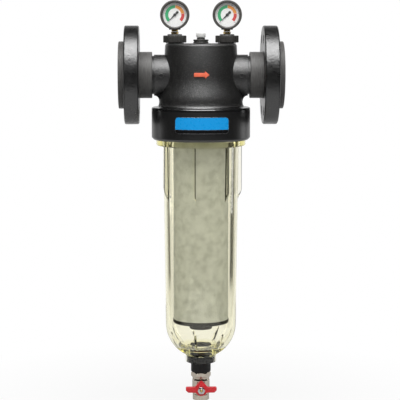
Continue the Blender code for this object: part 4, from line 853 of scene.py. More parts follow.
def eased(share):
    """A share from 0 to 1 that starts and ends softly."""
    share = clamped(share)
    return share * share * (3 - 2 * share)


def off_nearest(angle, count):
    """An angle's distance from the nearest of some evenly spaced ones."""
    pitch = 2 * math.pi / count
    return (angle + pitch / 2) % pitch - pitch / 2


def fillet(points, steps=4):
    """Replace each (r, z, radius) corner of a closed section by an arc."""
    rounded = []
    count = len(points)
    for index, point in enumerate(points):
        corner = Vector(point[:2])
        radius = point[2] if len(point) == 3 else 0.0
        if radius == 0.0:
            rounded.append(tuple(corner))
            continue
        before = (Vector(points[index - 1][:2]) - corner).normalized()
        after = (Vector(points[(index + 1) % count][:2]) - corner).normalized()
        half = before.angle(after) / 2
        centre = corner + (before + after).normalized() * radius / math.sin(half)
        start = corner + before * radius / math.tan(half) - centre
        end = corner + after * radius / math.tan(half) - centre
        turn = start.angle_signed(end)
        for step in range(steps + 1):
            arm = start.copy()
            arm.rotate(Matrix.Rotation(-turn * step / steps, 2))
            rounded.append(tuple(centre + arm))
    return rounded


def arc(centre_r, centre_z, radius, start_deg, end_deg, steps):
    """Points on an arc in the (r, z) plane, angles from +r towards +z."""
    points = []
    for step in range(steps + 1):
        angle = math.radians(start_deg + (end_deg - start_deg) * step / steps)
        points.append((centre_r + radius * math.cos(angle),
                       centre_z + radius * math.sin(angle)))
    return points


def lathe(section, steps=MEDIUM, corner_steps=4):
    """A section with its corners rounded, spun about Z."""
    return turned(fillet(section, corner_steps), full_turn(steps))


def rod(radius, low, high, steps=SMALL, round_r=0.0):
    """A plain rod, its ends rounded if asked."""
    return lathe([(0.0, high), (radius, high, round_r), (radius, low, round_r), (0.0, low)], steps)


def ring(inner_r, outer_r, low, high, steps=MEDIUM, round_r=0.0):
    """A plain ring with rounded edges."""
    return lathe([(inner_r, high, round_r), (outer_r, high, round_r),
                  (outer_r, low, round_r), (inner_r, low, round_r)], steps)


def rectangle(left, right, bottom, top):
    """A rectangle's corners as (x, y) points."""
    return [(left, bottom), (right, bottom), (right, top), (left, top)]


def prism(outline, low, high, bevel=0.0, steps=3):
    """Extrude a closed outline of (x, y) points, its upper edge rounded."""
    bm = bmesh.new()
    floor = bm.faces.new([bm.verts.new((x, y, low)) for x, y in outline])
    grown = bmesh.ops.extrude_face_region(bm, geom=[floor], use_keep_orig=True)
    lifted = [item for item in grown["geom"] if isinstance(item, bmesh.types.BMVert)]
    bmesh.ops.translate(bm, verts=lifted, vec=(0.0, 0.0, high - low))
    if bevel:
        edges = [edge for edge in bm.edges
                 if all(abs(vert.co.z - high) < 1e-7 for vert in edge.verts)]
        bmesh.ops.bevel(bm, geom=edges, offset=bevel, segments=steps, affect="EDGES",
                        profile=0.5)
    bmesh.ops.recalc_face_normals(bm, faces=bm.faces)
    return bm


def softened(outline, radius, steps=4):
    """An outline of (x, y) points with every corner rounded."""
    return fillet([(x, y, radius) for x, y in outline], steps)


def hex_section(flat_r, low, high, steps=4):
    """The outside of a hexagon from top to bottom, its corners chamfered."""
    corner_r = flat_r / math.cos(math.pi / 6)
    start_r = flat_r * 0.97
    drop = (corner_r - start_r) * math.tan(math.radians(30.0))

    def cut_back(limit):
        def reach(angle, _z):
            turn = angle % (math.pi / 3) - math.pi / 6
            return min(flat_r / math.cos(turn), limit)
        return reach

    shares = [step / steps for step in range(steps + 1)]
    upper = [(cut_back(start_r + (corner_r - start_r) * share), high - drop * share)
             for share in shares]
    return upper + [(reach, low + high - z) for reach, z in reversed(upper)]


def hex_nut(bore_r, corner_r, low, high):
    """A hexagonal nut's section."""
    outside = hex_section(corner_r * math.cos(math.pi / 6), low, high)
    return [(bore_r, high), *outside, (bore_r, low)]


def threaded(radius, thread, low, high, rows_per_pitch=8):
    """Section points down a threaded stretch, the thread fading out at both ends."""
    depth, pitch = thread

    def reach(angle, z):
        turn = z / pitch - angle / (2 * math.pi)
        wave = abs(2 * (turn - math.floor(turn)) - 1)
        return radius - depth * wave * clamped(min((high - z) / pitch, (z - low) / pitch))

    rows = int((high - low) / pitch * rows_per_pitch)
    return [(reach, high - (high - low) * row / rows) for row in range(rows + 1)]


def carved(bm, *steps):
    """Apply Boolean steps, each an operation and a tool, to a shape."""
    target = in_scene("temporary", mesh_of(bm, "temporary"))
    tools = []
    for operation, tool_bm in steps:
        tool = in_scene("temporary", mesh_of(tool_bm, "temporary"))
        mod = target.modifiers.new(operation, "BOOLEAN")
        mod.operation = operation
        mod.solver = "EXACT"
        mod.object = tool
        tools.append(tool)
    return taken(target, *tools)


def add_piece(name, bm, finish, node, replaced=None, spot=(0.0, 0.0, 0.0)):
    """Put a shape in the scene on the body of a CAD node.

    replaced names the nodes that it stands for; None means that node alone.
    """
    bmesh.ops.recalc_face_normals(bm, faces=bm.faces)
    mesh = mesh_of(bm, name)
    mesh.shade_smooth()
    mesh.set_sharp_from_angle(angle=SHARP_ANGLE)
    mesh.materials.append(MATERIALS[finish])
    obj = in_scene(name, mesh)
    obj.location = Vector(spot) + Vector((0.0, 0.0, PIPE_Z))
    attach(obj, frame["nodes"][node]["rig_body"])
    stood_for = (node,) if replaced is None else replaced
    if stood_for:
        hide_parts(*stood_for)


def add_facing(name, bm, finish, node, spot, replaced=None):
    """Add a piece that was made about Z and faces the front, at a spot."""
    add_piece(name, laid(bm, TO_FRONT), finish, node, replaced, spot)


# Head

def head_wall_r(z):
    """Radius of the body's cone at a height."""
    share = (HEAD_TOP_Z - z) / (HEAD_TOP_Z - BELL_TOP_Z)
    return HEAD_R + (BELL_TOP_R - HEAD_R) * share


def head_section():
    """Half section of the head's outside, closed along the axis."""
    skirt_z = BELL_Z + BELL_SKIRT * (BELL_TOP_Z - BELL_Z)
    outside = [
        (0.0, HEAD_TOP_Z),
        (HEAD_R, HEAD_TOP_Z, HEAD_ROUND),
        (BELL_TOP_R, BELL_TOP_Z, BELL_TOP_BEND),
        (BELL_R, skirt_z, BELL_SKIRT_BEND),
        (BELL_R, BELL_Z),
        (SHOULDER_R, COLLAR_TOP_Z, SHOULDER_ROUND),
        (COLLAR_R, COLLAR_TOP_Z, COLLAR_ROUND),
        (COLLAR_R, COLLAR_BOTTOM_Z + COLLAR_CHAMFER, 0.0020),
        (COLLAR_R - COLLAR_CHAMFER, COLLAR_BOTTOM_Z, 0.0010),
        (0.0, COLLAR_BOTTOM_Z),
    ]
    return fillet(outside)


def chamber_section():
    """The inlet chamber round the centre tube, and the collar's bore below."""
    below = COLLAR_BOTTOM_Z - 2 * CUT_PAST
    return [
        (CENTRE_TUBE_R, ROOF_Z),
        (CHAMBER_R, ROOF_Z),
        (CHAMBER_R, LEDGE_Z),
        (COLLAR_BORE_R, LEDGE_Z),
        (COLLAR_BORE_R, below),
        (0.0, below),
        (0.0, CENTRE_TUBE_END_Z),
        (CENTRE_TUBE_R, CENTRE_TUBE_END_Z),
    ]


def nipple(start, turn):
    """A port's outside, from inside the head's wall to the thread's end."""
    section = [
        (0.0, start),
        (NIPPLE_R, start),
        (NIPPLE_R, NIPPLE_END, 0.0008),
        (RELIEF_R, NIPPLE_END),
        (RELIEF_R, BARREL_START),
        (THREAD_R, BARREL_START),
        (THREAD_R, THREAD_END, 0.0010),
        (0.0, THREAD_END),
    ]
    return laid(lathe(section), turn)


def nipple_web(sign):
    """The web that rounds the corner between a nipple's underside and the bell."""
    middle_z = -NIPPLE_R - WEB_ROUND
    inner_x = CHAMBER_R + HEAD_WALL / 2
    outline = [(inner_x, middle_z), (inner_x, -BORE_R), (NIPPLE_END, -BORE_R)]
    outline += arc(NIPPLE_END, middle_z, WEB_ROUND, 90.0, 180.0, 16)
    outline = [(sign * x, z) for x, z in outline]
    return laid(prism(outline, -WEB_HALF_THICK, WEB_HALF_THICK), TO_FRONT)


def elbow_bore():
    """The outlet bore: up the centre tube, round a bend and out along +X."""
    bm = bmesh.new()
    path = [((0.0, COLLAR_BOTTOM_Z), 90.0)]
    for x, z in arc(ELBOW_R, -ELBOW_R, ELBOW_R, 180.0, 90.0, 12):
        path.append(((x, z), math.degrees(math.atan2(ELBOW_R - x, z + ELBOW_R))))
    path.append(((THREAD_END + 2 * CUT_PAST, 0.0), 0.0))
    rings = []
    for (x, z), tangent in path:
        lean = math.radians(90.0 - tangent)
        place = Matrix.Translation((x, 0.0, z)) @ Matrix.Rotation(lean, 4, "Y")
        circle = bmesh.ops.create_circle(bm, segments=MEDIUM, radius=BORE_R, matrix=place)
        rings.append(circle["verts"])
    for lower, upper in zip(rings, rings[1:]):
        join_rings(bm, lower, upper)
    bm.faces.new(rings[0])
    bm.faces.new(rings[-1])
    bmesh.ops.recalc_face_normals(bm, faces=bm.faces)
    return bm


def test_boss(x):
    """A small ring round a closed test point on the front of a port."""
    proud = NIPPLE_R + TEST_BOSS_PROUD
    root = BORE_R + TEST_BOSS_ROOT
    section = [(TEST_BOSS_BORE_R, root), (TEST_BOSS_BORE_R, proud, 0.0004),
               (TEST_BOSS_R, proud, 0.0006), (TEST_BOSS_R, root)]
    return moved(laid(lathe(section, FINE), TO_FRONT), x=x)


def build_head():
    """The moulded head: body, collar, ports, centre tube and tappings."""
    steps = [
        ("UNION", nipple(CHAMBER_R - NIPPLE_ROOT, ALONG_MINUS_X)),
        ("UNION", nipple_web(-1.0)),
        ("UNION", nipple_web(1.0)),
        ("DIFFERENCE", turned(chamber_section(), full_turn(LARGE))),
        ("UNION", nipple(0.0, ALONG_X)),
        ("UNION", moved(rod(TAPPING_COLUMN_R, BORE_R, ROOF_Z + OVERLAP, FINE), x=GAUGE_X)),
        ("UNION", test_boss(-TEST_BOSS_X)),
        ("UNION", test_boss(TEST_BOSS_X)),
        ("DIFFERENCE", elbow_bore()),
    ]
    bore_start = CHAMBER_R - BORE_ROOT
    bore_end = THREAD_END + 2 * CUT_PAST
    inlet_bore = turned([(0.0, bore_start), (BORE_R, bore_start), (BORE_R, bore_end),
                         (0.0, bore_end)], full_turn(MEDIUM, math.pi / MEDIUM))
    steps.append(("DIFFERENCE", laid(inlet_bore, ALONG_MINUS_X)))
    for sign in (-1.0, 1.0):
        socket = rod(PLUG_SHANK_R + SHAFT_FIT, ROOF_Z - 0.001, HEAD_TOP_Z + CUT_PAST)
        steps.append(("DIFFERENCE", moved(socket, x=sign * GAUGE_X)))
    tapping = rod(TAPPING_R, BORE_R - TAPPING_REACH, ROOF_Z + OVERLAP, COARSE)
    steps.append(("DIFFERENCE", moved(tapping, x=GAUGE_X)))
    bleed = rod(BLEED_SHANK_R + SHAFT_FIT, BORE_R + 0.006, HEAD_TOP_Z + CUT_PAST)
    steps.append(("DIFFERENCE", bleed))
    body = turned(head_section(), full_turn(LARGE, math.pi / LARGE))
    add_piece("head_casting", carved(body, *steps), "head_plastic", "head")


# Label and arrow

def bent(bm, radius_at, pitch=0.002):
    """Bend a flat plate, lying in x and y, round the vertical axis.

    Its back comes to lie at the radius given for each height.
    """
    reach = max(abs(vert.co.x) for vert in bm.verts)
    columns = int(2 * reach / pitch)
    for column in range(1, columns):
        place = -reach + 2 * reach * column / columns
        geom = list(bm.verts) + list(bm.edges) + list(bm.faces)
        bmesh.ops.bisect_plane(bm, geom=geom, dist=1e-7, plane_co=(place, 0, 0),
                               plane_no=(1, 0, 0))
    for vert in bm.verts:
        back_r = radius_at(vert.co.y)
        angle = vert.co.x / back_r
        radius = back_r + vert.co.z
        vert.co = Vector((radius * math.sin(angle), -radius * math.cos(angle), vert.co.y))
    return bm


def label_outline(inset, top, bottom, round_top, round_bottom):
    """A field of the label, as (along the arc, height) points."""
    half = LABEL_HALF_ANGLE * COLLAR_R - inset
    corners = [(-half, bottom, round_bottom), (half, bottom, round_bottom),
               (half, top, round_top), (-half, top, round_top)]
    return fillet(corners, 6)


def build_label():
    """The plate on the collar: silver edge, blue field and black strip."""
    top = LABEL_TOP_Z
    bottom = top - LABEL_HEIGHT
    strip_top = top - LABEL_STRIP_TOP
    inner_r = COLLAR_R + SEAT_GAP
    plate = prism(label_outline(0.0, top, bottom, LABEL_CORNER, LABEL_CORNER), 0.0,
                  LABEL_BASE_THICK, 0.0001)
    add_piece("label_base", bent(plate, lambda _z: inner_r), "label_silver", "label_plate")
    ink_r = inner_r + LABEL_BASE_THICK
    fields = (
        ("label_field", "label_blue", top - LABEL_EDGE, strip_top,
         LABEL_CORNER - LABEL_EDGE, 0.0),
        ("label_strip", "label_black", strip_top - LABEL_STRIP_GAP, bottom + LABEL_EDGE,
         0.0, LABEL_CORNER - LABEL_EDGE),
    )
    for name, finish, high, low, round_top, round_bottom in fields:
        outline = label_outline(LABEL_EDGE, high, low, round_top, round_bottom)
        ink = prism(outline, 0.0, LABEL_INK_THICK)
        add_piece(name, bent(ink, lambda _z: ink_r), finish, "label_plate", ())


def build_arrow():
    """The raised flow arrow, pointing at the outlet."""
    half = ARROW_LENGTH / 2
    neck = half - ARROW_HEAD_LENGTH
    outline = [(-half, -ARROW_SHAFT / 2), (neck, -ARROW_SHAFT / 2), (neck, -ARROW_HEAD / 2),
               (half, 0.0), (neck, ARROW_HEAD / 2), (neck, ARROW_SHAFT / 2),
               (-half, ARROW_SHAFT / 2)]
    plate = moved(prism(softened(outline, 0.0005, 3), 0.0, ARROW_THICK, 0.0004), y=ARROW_Z)
    arrow = bent(plate, lambda z: head_wall_r(z) + SEAT_GAP)
    add_piece("flow_arrow_raised", arrow, "arrow_red", "flow_arrow")


# Ports

def stub_section():
    """A stub's section: socket, barrel and a grooved raised face."""
    socket_r = THREAD_R + SHAFT_FIT
    points = [
        (BARREL_R, BARREL_START, 0.0012),
        (BARREL_R, COLLAR_BACK),
        (FACE_COLLAR_R, COLLAR_BACK, 0.0015),
        (FACE_COLLAR_R, FLANGE_FACE, 0.0015),
    ]
    middle = (FACE_COLLAR_R + BORE_R) / 2
    first = middle + FACE_GROOVE_PITCH * (FACE_GROOVES - 1) / 2
    for groove in range(FACE_GROOVES):
        centre = first - FACE_GROOVE_PITCH * groove
        points += [(centre + FACE_GROOVE_HALF, FLANGE_FACE),
                   (centre, FLANGE_FACE - FACE_GROOVE_DEPTH),
                   (centre - FACE_GROOVE_HALF, FLANGE_FACE)]
    points += [
        (BORE_R, FLANGE_FACE, 0.0008),
        (BORE_R, SOCKET_END),
        (socket_r, SOCKET_END),
        (socket_r, BARREL_START, 0.0008),
    ]
    return fillet(points)


def bolt_hole_section(low, high):
    """A bolt hole with a small chamfer at both mouths."""
    wide = BOLT_HOLE_R + 2 * BOLT_HOLE_CHAMFER
    return [
        (0.0, high + BOLT_HOLE_CHAMFER),
        (wide, high + BOLT_HOLE_CHAMFER),
        (BOLT_HOLE_R, high - BOLT_HOLE_CHAMFER),
        (BOLT_HOLE_R, low + BOLT_HOLE_CHAMFER),
        (wide, low - BOLT_HOLE_CHAMFER),
        (0.0, low - BOLT_HOLE_CHAMFER),
    ]


def build_ports():
    """Stubs, seals and loose backing rings on both ports."""
    ring_outer = COLLAR_BACK - SEAT_GAP
    ring_inner = ring_outer - FLANGE_THICK
    for side, _sign, turn in SIDES:
        stub = laid(turned(stub_section(), full_turn(MEDIUM)), turn)
        add_piece(side + "_stub_turned", stub, "pvc_grey", side + "_stub")
        start = THREAD_END + SEAT_GAP
        seal = ring(BORE_R + SHAFT_FIT, THREAD_R, start, start + PORT_SEAL_THICK)
        add_piece(side + "_port_washer", laid(seal, turn), "rubber", side + "_port_seal")
        section = fillet([
            (BARREL_R + RING_PLAY, ring_outer, 0.0012),
            (FLANGE_R, ring_outer, FLANGE_ROUND),
            (FLANGE_R, ring_inner, FLANGE_ROUND),
            (BARREL_R + RING_PLAY, ring_inner, 0.0012),
        ], 6)
        body = turned(section, full_turn(LARGE))
        holes = []
        for angle in full_turn(BOLT_COUNT, math.pi / BOLT_COUNT):
            hole = turned(bolt_hole_section(ring_inner, ring_outer), full_turn(FINE))
            x = BOLT_CIRCLE_R * math.cos(angle)
            y = BOLT_CIRCLE_R * math.sin(angle)
            holes.append(("DIFFERENCE", moved(hole, x=x, y=y)))
        drilled = laid(carved(body, *holes), turn)
        add_piece(side + "_flange_ring", drilled, "flange_black", side + "_backing_ring")


# Filter element

def build_vanes():
    """The ring of slanted vanes round the centre tube."""
    bore_r = CENTRE_TUBE_R + SHAFT_FIT
    low = ELEMENT_TOP_Z + SEAT_GAP
    rows = 12
    half = VANE_THICK / 2

    def outside(angle, z):
        twist = VANE_TWIST * (z - low) / VANE_HEIGHT
        off = off_nearest(angle - twist, VANE_COUNT)
        return VANE_TIP_R if abs(off) * VANE_TIP_R < half * 1.3 else VANE_HUB_R

    section = [(outside, low + VANE_HEIGHT * row / rows) for row in range(rows + 1)]
    section += [(bore_r, low + VANE_HEIGHT * (rows - row) / rows) for row in range(rows + 1)]
    bm = turned(section, full_turn(VANE_STEPS))
    add_piece("vane_ring_moulded", bm, "white_plastic", "vane_ring")


def felt_radius(angle, z):
    """The sleeve's outside, slightly uneven as felt is."""
    spot = Vector((math.cos(angle) * 2.2, math.sin(angle) * 2.2, z * 38.0))
    swell = noise.noise(spot) * 0.6 + noise.noise(spot * 3.1) * 0.4
    edge = min(1.0, (FELT_TOP_Z - z) / 0.006, (z - FELT_BOTTOM_Z) / 0.006)
    return ELEMENT_R - FELT_WAVE * (0.5 - 0.5 * swell) * max(0.0, edge)


def build_element():
    """The element's ends, felt sleeve and seal."""
    spigot_r = BORE_R - SHAFT_FIT
    flow_r = spigot_r - ELEMENT_SPIGOT_WALL
    flange_low = ELEMENT_TOP_Z - ELEMENT_FLANGE_THICK
    spigot_top = ELEMENT_TOP_Z + ELEMENT_SPIGOT_LENGTH
    top = lathe([
        (flow_r, spigot_top, 0.0015),
        (spigot_r, spigot_top, 0.0015),
        (spigot_r, ELEMENT_TOP_Z),
        (ELEMENT_R, ELEMENT_TOP_Z, 0.0015),
        (ELEMENT_R, flange_low, 0.0010),
        (END_SPIGOT_R, flange_low),
        (END_SPIGOT_R, flange_low - END_SPIGOT_DEPTH, 0.0010),
        (flow_r, flange_low - END_SPIGOT_DEPTH),
    ])
    add_piece("element_top_cap", top, "head_plastic", "element_top")
    seal_low = ELEMENT_TOP_Z + SEAT_GAP
    seal = ring(spigot_r + SHAFT_FIT, CENTRE_TUBE_R, seal_low, seal_low + ELEMENT_SEAL_THICK)
    add_piece("element_washer", seal, "rubber", "element_seal")

    rows = 150
    height = FELT_TOP_Z - FELT_BOTTOM_Z
    section = [(felt_radius, FELT_TOP_Z - height * row / rows) for row in range(rows + 1)]
    inner_r = ELEMENT_R - FELT_THICK
    section += [(inner_r, FELT_BOTTOM_Z), (inner_r, FELT_TOP_Z)]
    sleeve = turned(section, full_turn(LARGE))
    add_piece("felt_sleeve", sleeve, "felt", "filter_sleeve")

    low = ELEMENT_BOTTOM_Z - BASE_CAP_THICK
    hub_low = low - BASE_HUB_LENGTH
    cap = lathe([
        (0.0, ELEMENT_BOTTOM_Z + END_SPIGOT_DEPTH),
        (END_SPIGOT_R, ELEMENT_BOTTOM_Z + END_SPIGOT_DEPTH, 0.0010),
        (END_SPIGOT_R, ELEMENT_BOTTOM_Z),
        (BASE_CAP_R, ELEMENT_BOTTOM_Z, 0.0008),
        (BASE_CAP_R, low, 0.0020),
        (BASE_HUB_R, low, 0.0012),
        (BASE_HUB_R - BASE_HUB_DRAFT, hub_low, 0.0015),
        (BASE_HUB_R - BASE_HUB_WALL, hub_low, 0.0008),
        (BASE_HUB_R - BASE_HUB_WALL - 0.0006, hub_low + BASE_HUB_DEPTH),
        (0.0, hub_low + BASE_HUB_DEPTH),
    ])
    add_piece("element_base_cap", cap, "satin_black", "base_cap")


# Bowl

def wall_radius(z):
    """Outside radius of the tapered wall at a height."""
    share = (BOWL_WALL_Z - z) / (BOWL_WALL_Z - BOWL_DOME_Z)
    return BOWL_TOP_R + (BOWL_FOOT_R - BOWL_TOP_R) * share


def rib_share(angle):
    """From 0 between the ribs to 1 on a rib's crest."""
    across = abs(off_nearest(angle - RIB_START, RIB_COUNT)) * BOWL_STEP_R
    return eased((RIB_THICK / 2 - across) / RIB_DRAFT)


def rib_height(z):
    """How far a rib stands out at a height, with a curved run-out."""
    return (RIB_R - wall_radius(z)) * (1 - eased((RIB_END_Z - z) / RIB_RUNOUT))


def ribbed(angle, z):
    """Outside of the wall with its ribs."""
    return wall_radius(z) + rib_share(angle) * rib_height(z)


def finned(angle, z):
    """Inside of the domed bottom, with a fin below each rib."""
    depth = BOWL_DOME_Z - z
    wall = math.sqrt(BOWL_INNER_R ** 2 - depth ** 2)
    return wall - FIN_DEPTH * rib_share(angle) * clamped((depth - FIN_TOP) / FIN_RUNOUT)


def bowl_angles(rib_steps=14, gap_steps=18):
    """Angles round the bowl, closer together over the ribs."""
    foot = RIB_THICK / 2 / BOWL_STEP_R
    gap = 2 * math.pi / RIB_COUNT - 2 * foot
    angles = []
    for middle in full_turn(RIB_COUNT, RIB_START):
        angles += [middle - foot + 2 * foot * step / rib_steps for step in range(rib_steps + 1)]
        angles += [middle + foot + gap * step / gap_steps for step in range(1, gap_steps)]
    return angles


def bowl_outside():
    """Section points from the rim down the outside to the boss's end."""
    points = [(BOWL_NECK_R - 0.0010, BOWL_RIM_Z)]
    points += threaded(BOWL_NECK_R, BOWL_THREAD, BOWL_FLANGE_Z + 0.002, BOWL_RIM_Z - 0.0008)
    points += fillet([
        (BOWL_NECK_R, BOWL_FLANGE_Z),
        (BOWL_FLANGE_R, BOWL_FLANGE_Z, 0.0008),
        (BOWL_FLANGE_R, BOWL_STEP_Z, 0.0016),
        (BOWL_STEP_R, BOWL_STEP_Z, 0.0008),
        (BOWL_STEP_R, BOWL_WALL_Z, 0.0012),
        (BOWL_TOP_R, BOWL_WALL_Z),
    ])[:-1]
    runout_rows = 40
    points.append((ribbed, BOWL_WALL_Z - 0.0001))
    points += [(ribbed, BOWL_WALL_Z - RIB_LENGTH * row / 12) for row in range(1, 12)]
    points += [(ribbed, RIB_END_Z - RIB_RUNOUT * row / runout_rows) for row in range(runout_rows)]
    points.append((wall_radius(RUNOUT_END_Z), RUNOUT_END_Z))
    return points


def build_bowl():
    """The clear bowl: threaded neck, flange, ribs, dome and outlet boss."""
    section = bowl_outside()
    wall_rows = 16
    for row in range(1, wall_rows):
        z = RUNOUT_END_Z - (RUNOUT_END_Z - BOWL_DOME_Z) * row / wall_rows
        section.append((wall_radius(z), z))
    boss_deg = math.degrees(math.acos(OUTLET_BOSS_R / BOWL_FOOT_R))
    section += arc(0.0, BOWL_DOME_Z, BOWL_FOOT_R, 0.0, -boss_deg, 28)
    bore_r = BUSHING_SHANK_R + SHAFT_FIT
    counterbore_r = BUSHING_FLANGE_R + SHAFT_FIT
    section += fillet([
        (OUTLET_BOSS_R, OUTLET_BOSS_Z + 0.004),
        (OUTLET_BOSS_R, OUTLET_BOSS_Z, 0.0010),
        (counterbore_r, OUTLET_BOSS_Z, 0.0006),
        (counterbore_r, COUNTERBORE_Z, 0.0006),
        (bore_r, COUNTERBORE_Z, 0.0005),
        (bore_r, BOWL_FLOOR_Z, 0.0008),
        (bore_r + 0.004, BOWL_FLOOR_Z),
    ])
    floor_deg = math.degrees(math.asin(BOWL_FLOOR_DROP / BOWL_INNER_R))
    for r, z in arc(0.0, BOWL_DOME_Z, BOWL_INNER_R, -floor_deg, 0.0, 30):
        section.append((finned, z) if z < BOWL_DOME_Z - 0.0001 else (r, z))
    top_r = BOWL_TOP_R - BOWL_WALL
    for row in range(1, wall_rows + 1):
        share = row / wall_rows
        section.append((BOWL_INNER_R + (top_r - BOWL_INNER_R) * share,
                        BOWL_DOME_Z + (BOWL_WALL_Z - BOWL_DOME_Z) * share))
    section.append((BOWL_NECK_INNER_R, BOWL_RIM_Z - 0.0008))
    section.append((BOWL_NECK_INNER_R + 0.0008, BOWL_RIM_Z))
    add_piece("bowl_clear_shell", turned(section, bowl_angles()), "bowl_clear", "bowl")

    outer_r = BOWL_NECK_R - 0.0020
    top = LEDGE_Z - SEAT_GAP
    seal = ring(outer_r - BOWL_SEAL_WIDTH, outer_r, top - BOWL_SEAL_THICK, top, LARGE, 0.0007)
    add_piece("bowl_seal_ring", seal, "rubber", "bowl_seal")


# Drain

def build_bushing():
    """The threaded bushing in the boss, its collar in the counterbore on a gasket."""
    top = COUNTERBORE_Z - SEAT_GAP
    gasket = ring(BUSHING_SHANK_R + SHAFT_FIT, BUSHING_FLANGE_R, top - DRAIN_GASKET_THICK, top,
                  SMALL, 0.0003)
    add_piece("drain_washer", gasket, "rubber", "drain_gasket")

    shank_top = BOWL_FLOOR_Z - BUSHING_SUNK
    socket_r = VALVE_SPIGOT_R + SHAFT_FIT
    socket_top = BUSHING_END_Z + VALVE_SPIGOT_LENGTH
    section = [(DRAIN_BORE_R, shank_top), (BUSHING_SHANK_R - 0.0010, shank_top)]
    section += threaded(BUSHING_SHANK_R, BUSHING_THREAD, BUSHING_TOP_Z, shank_top - 0.0006)
    section += fillet([
        (BUSHING_SHANK_R, BUSHING_TOP_Z - 0.00001),
        (BUSHING_FLANGE_R, BUSHING_TOP_Z - 0.00001, 0.0008),
        (BUSHING_FLANGE_R, OUTLET_BOSS_Z, 0.0010),
        (BUSHING_BODY_R, OUTLET_BOSS_Z, 0.0006),
        (BUSHING_BODY_R, BUSHING_END_Z, 0.0020),
        (socket_r, BUSHING_END_Z, 0.0005),
        (socket_r, socket_top),
        (DRAIN_BORE_R, socket_top),
    ])
    add_piece("drain_bushing_threaded", turned(section, full_turn(MEDIUM)), "satin_black",
              "drain_bushing")


def valve_barrel():
    """The valve body's barrel with its hexagon and the stem's boss."""
    spigot_top = VALVE_TOP_Z + VALVE_SPIGOT_LENGTH - SEAT_GAP
    hex_low = VALVE_TOP_Z - VALVE_HEX_HEIGHT
    section = fillet([
        (0.0, spigot_top),
        (VALVE_SPIGOT_R, spigot_top, 0.0008),
        (VALVE_SPIGOT_R, VALVE_TOP_Z - 0.002),
        (VALVE_R, VALVE_TOP_Z - 0.002),
        (VALVE_R, hex_low - 0.0012, 0.0006),
        (VALVE_R - VALVE_GROOVE_DEPTH, hex_low - 0.0026, 0.0008),
        (VALVE_R, hex_low - 0.0056, 0.0014),
        (VALVE_R, VALVE_BODY_END_Z, 0.0010),
        (0.0, VALVE_BODY_END_Z),
    ])
    nut = [(0.0, VALVE_TOP_Z), *hex_section(VALVE_HEX_ACROSS_FLATS / 2, hex_low, VALVE_TOP_Z),
           (0.0, hex_low)]
    boss = rod(STEM_BOSS_R, 0.005, STEM_BOSS_REACH, SMALL, 0.0006)
    cavity_top = VALVE_Z + SEAT_REACH + SEAT_GAP
    water_way = turned(
        [(0.0, spigot_top + CUT_PAST), (DRAIN_BORE_R, spigot_top + CUT_PAST),
         (DRAIN_BORE_R, cavity_top), (VALVE_CAVITY_R, cavity_top),
         (VALVE_CAVITY_R, VALVE_BODY_END_Z - CUT_PAST), (0.0, VALVE_BODY_END_Z - CUT_PAST)],
        full_turn(SMALL))
    stem_way = turned(
        [(0.0, STEM_BOSS_REACH + CUT_PAST), (PACKING_R, STEM_BOSS_REACH + CUT_PAST),
         (PACKING_R, PACKING_START), (STEM_R + SHAFT_FIT, PACKING_START),
         (STEM_R + SHAFT_FIT, CUT_PAST), (0.0, CUT_PAST)], full_turn(COARSE, 0.05))
    return carved(
        turned(section, full_turn(SMALL)),
        ("UNION", turned(nut, full_turn(MEDIUM))),
        ("UNION", moved(laid(boss, TO_FRONT), z=VALVE_Z)),
        ("DIFFERENCE", water_way),
        ("DIFFERENCE", moved(laid(stem_way, TO_FRONT), z=VALVE_Z)),
    )


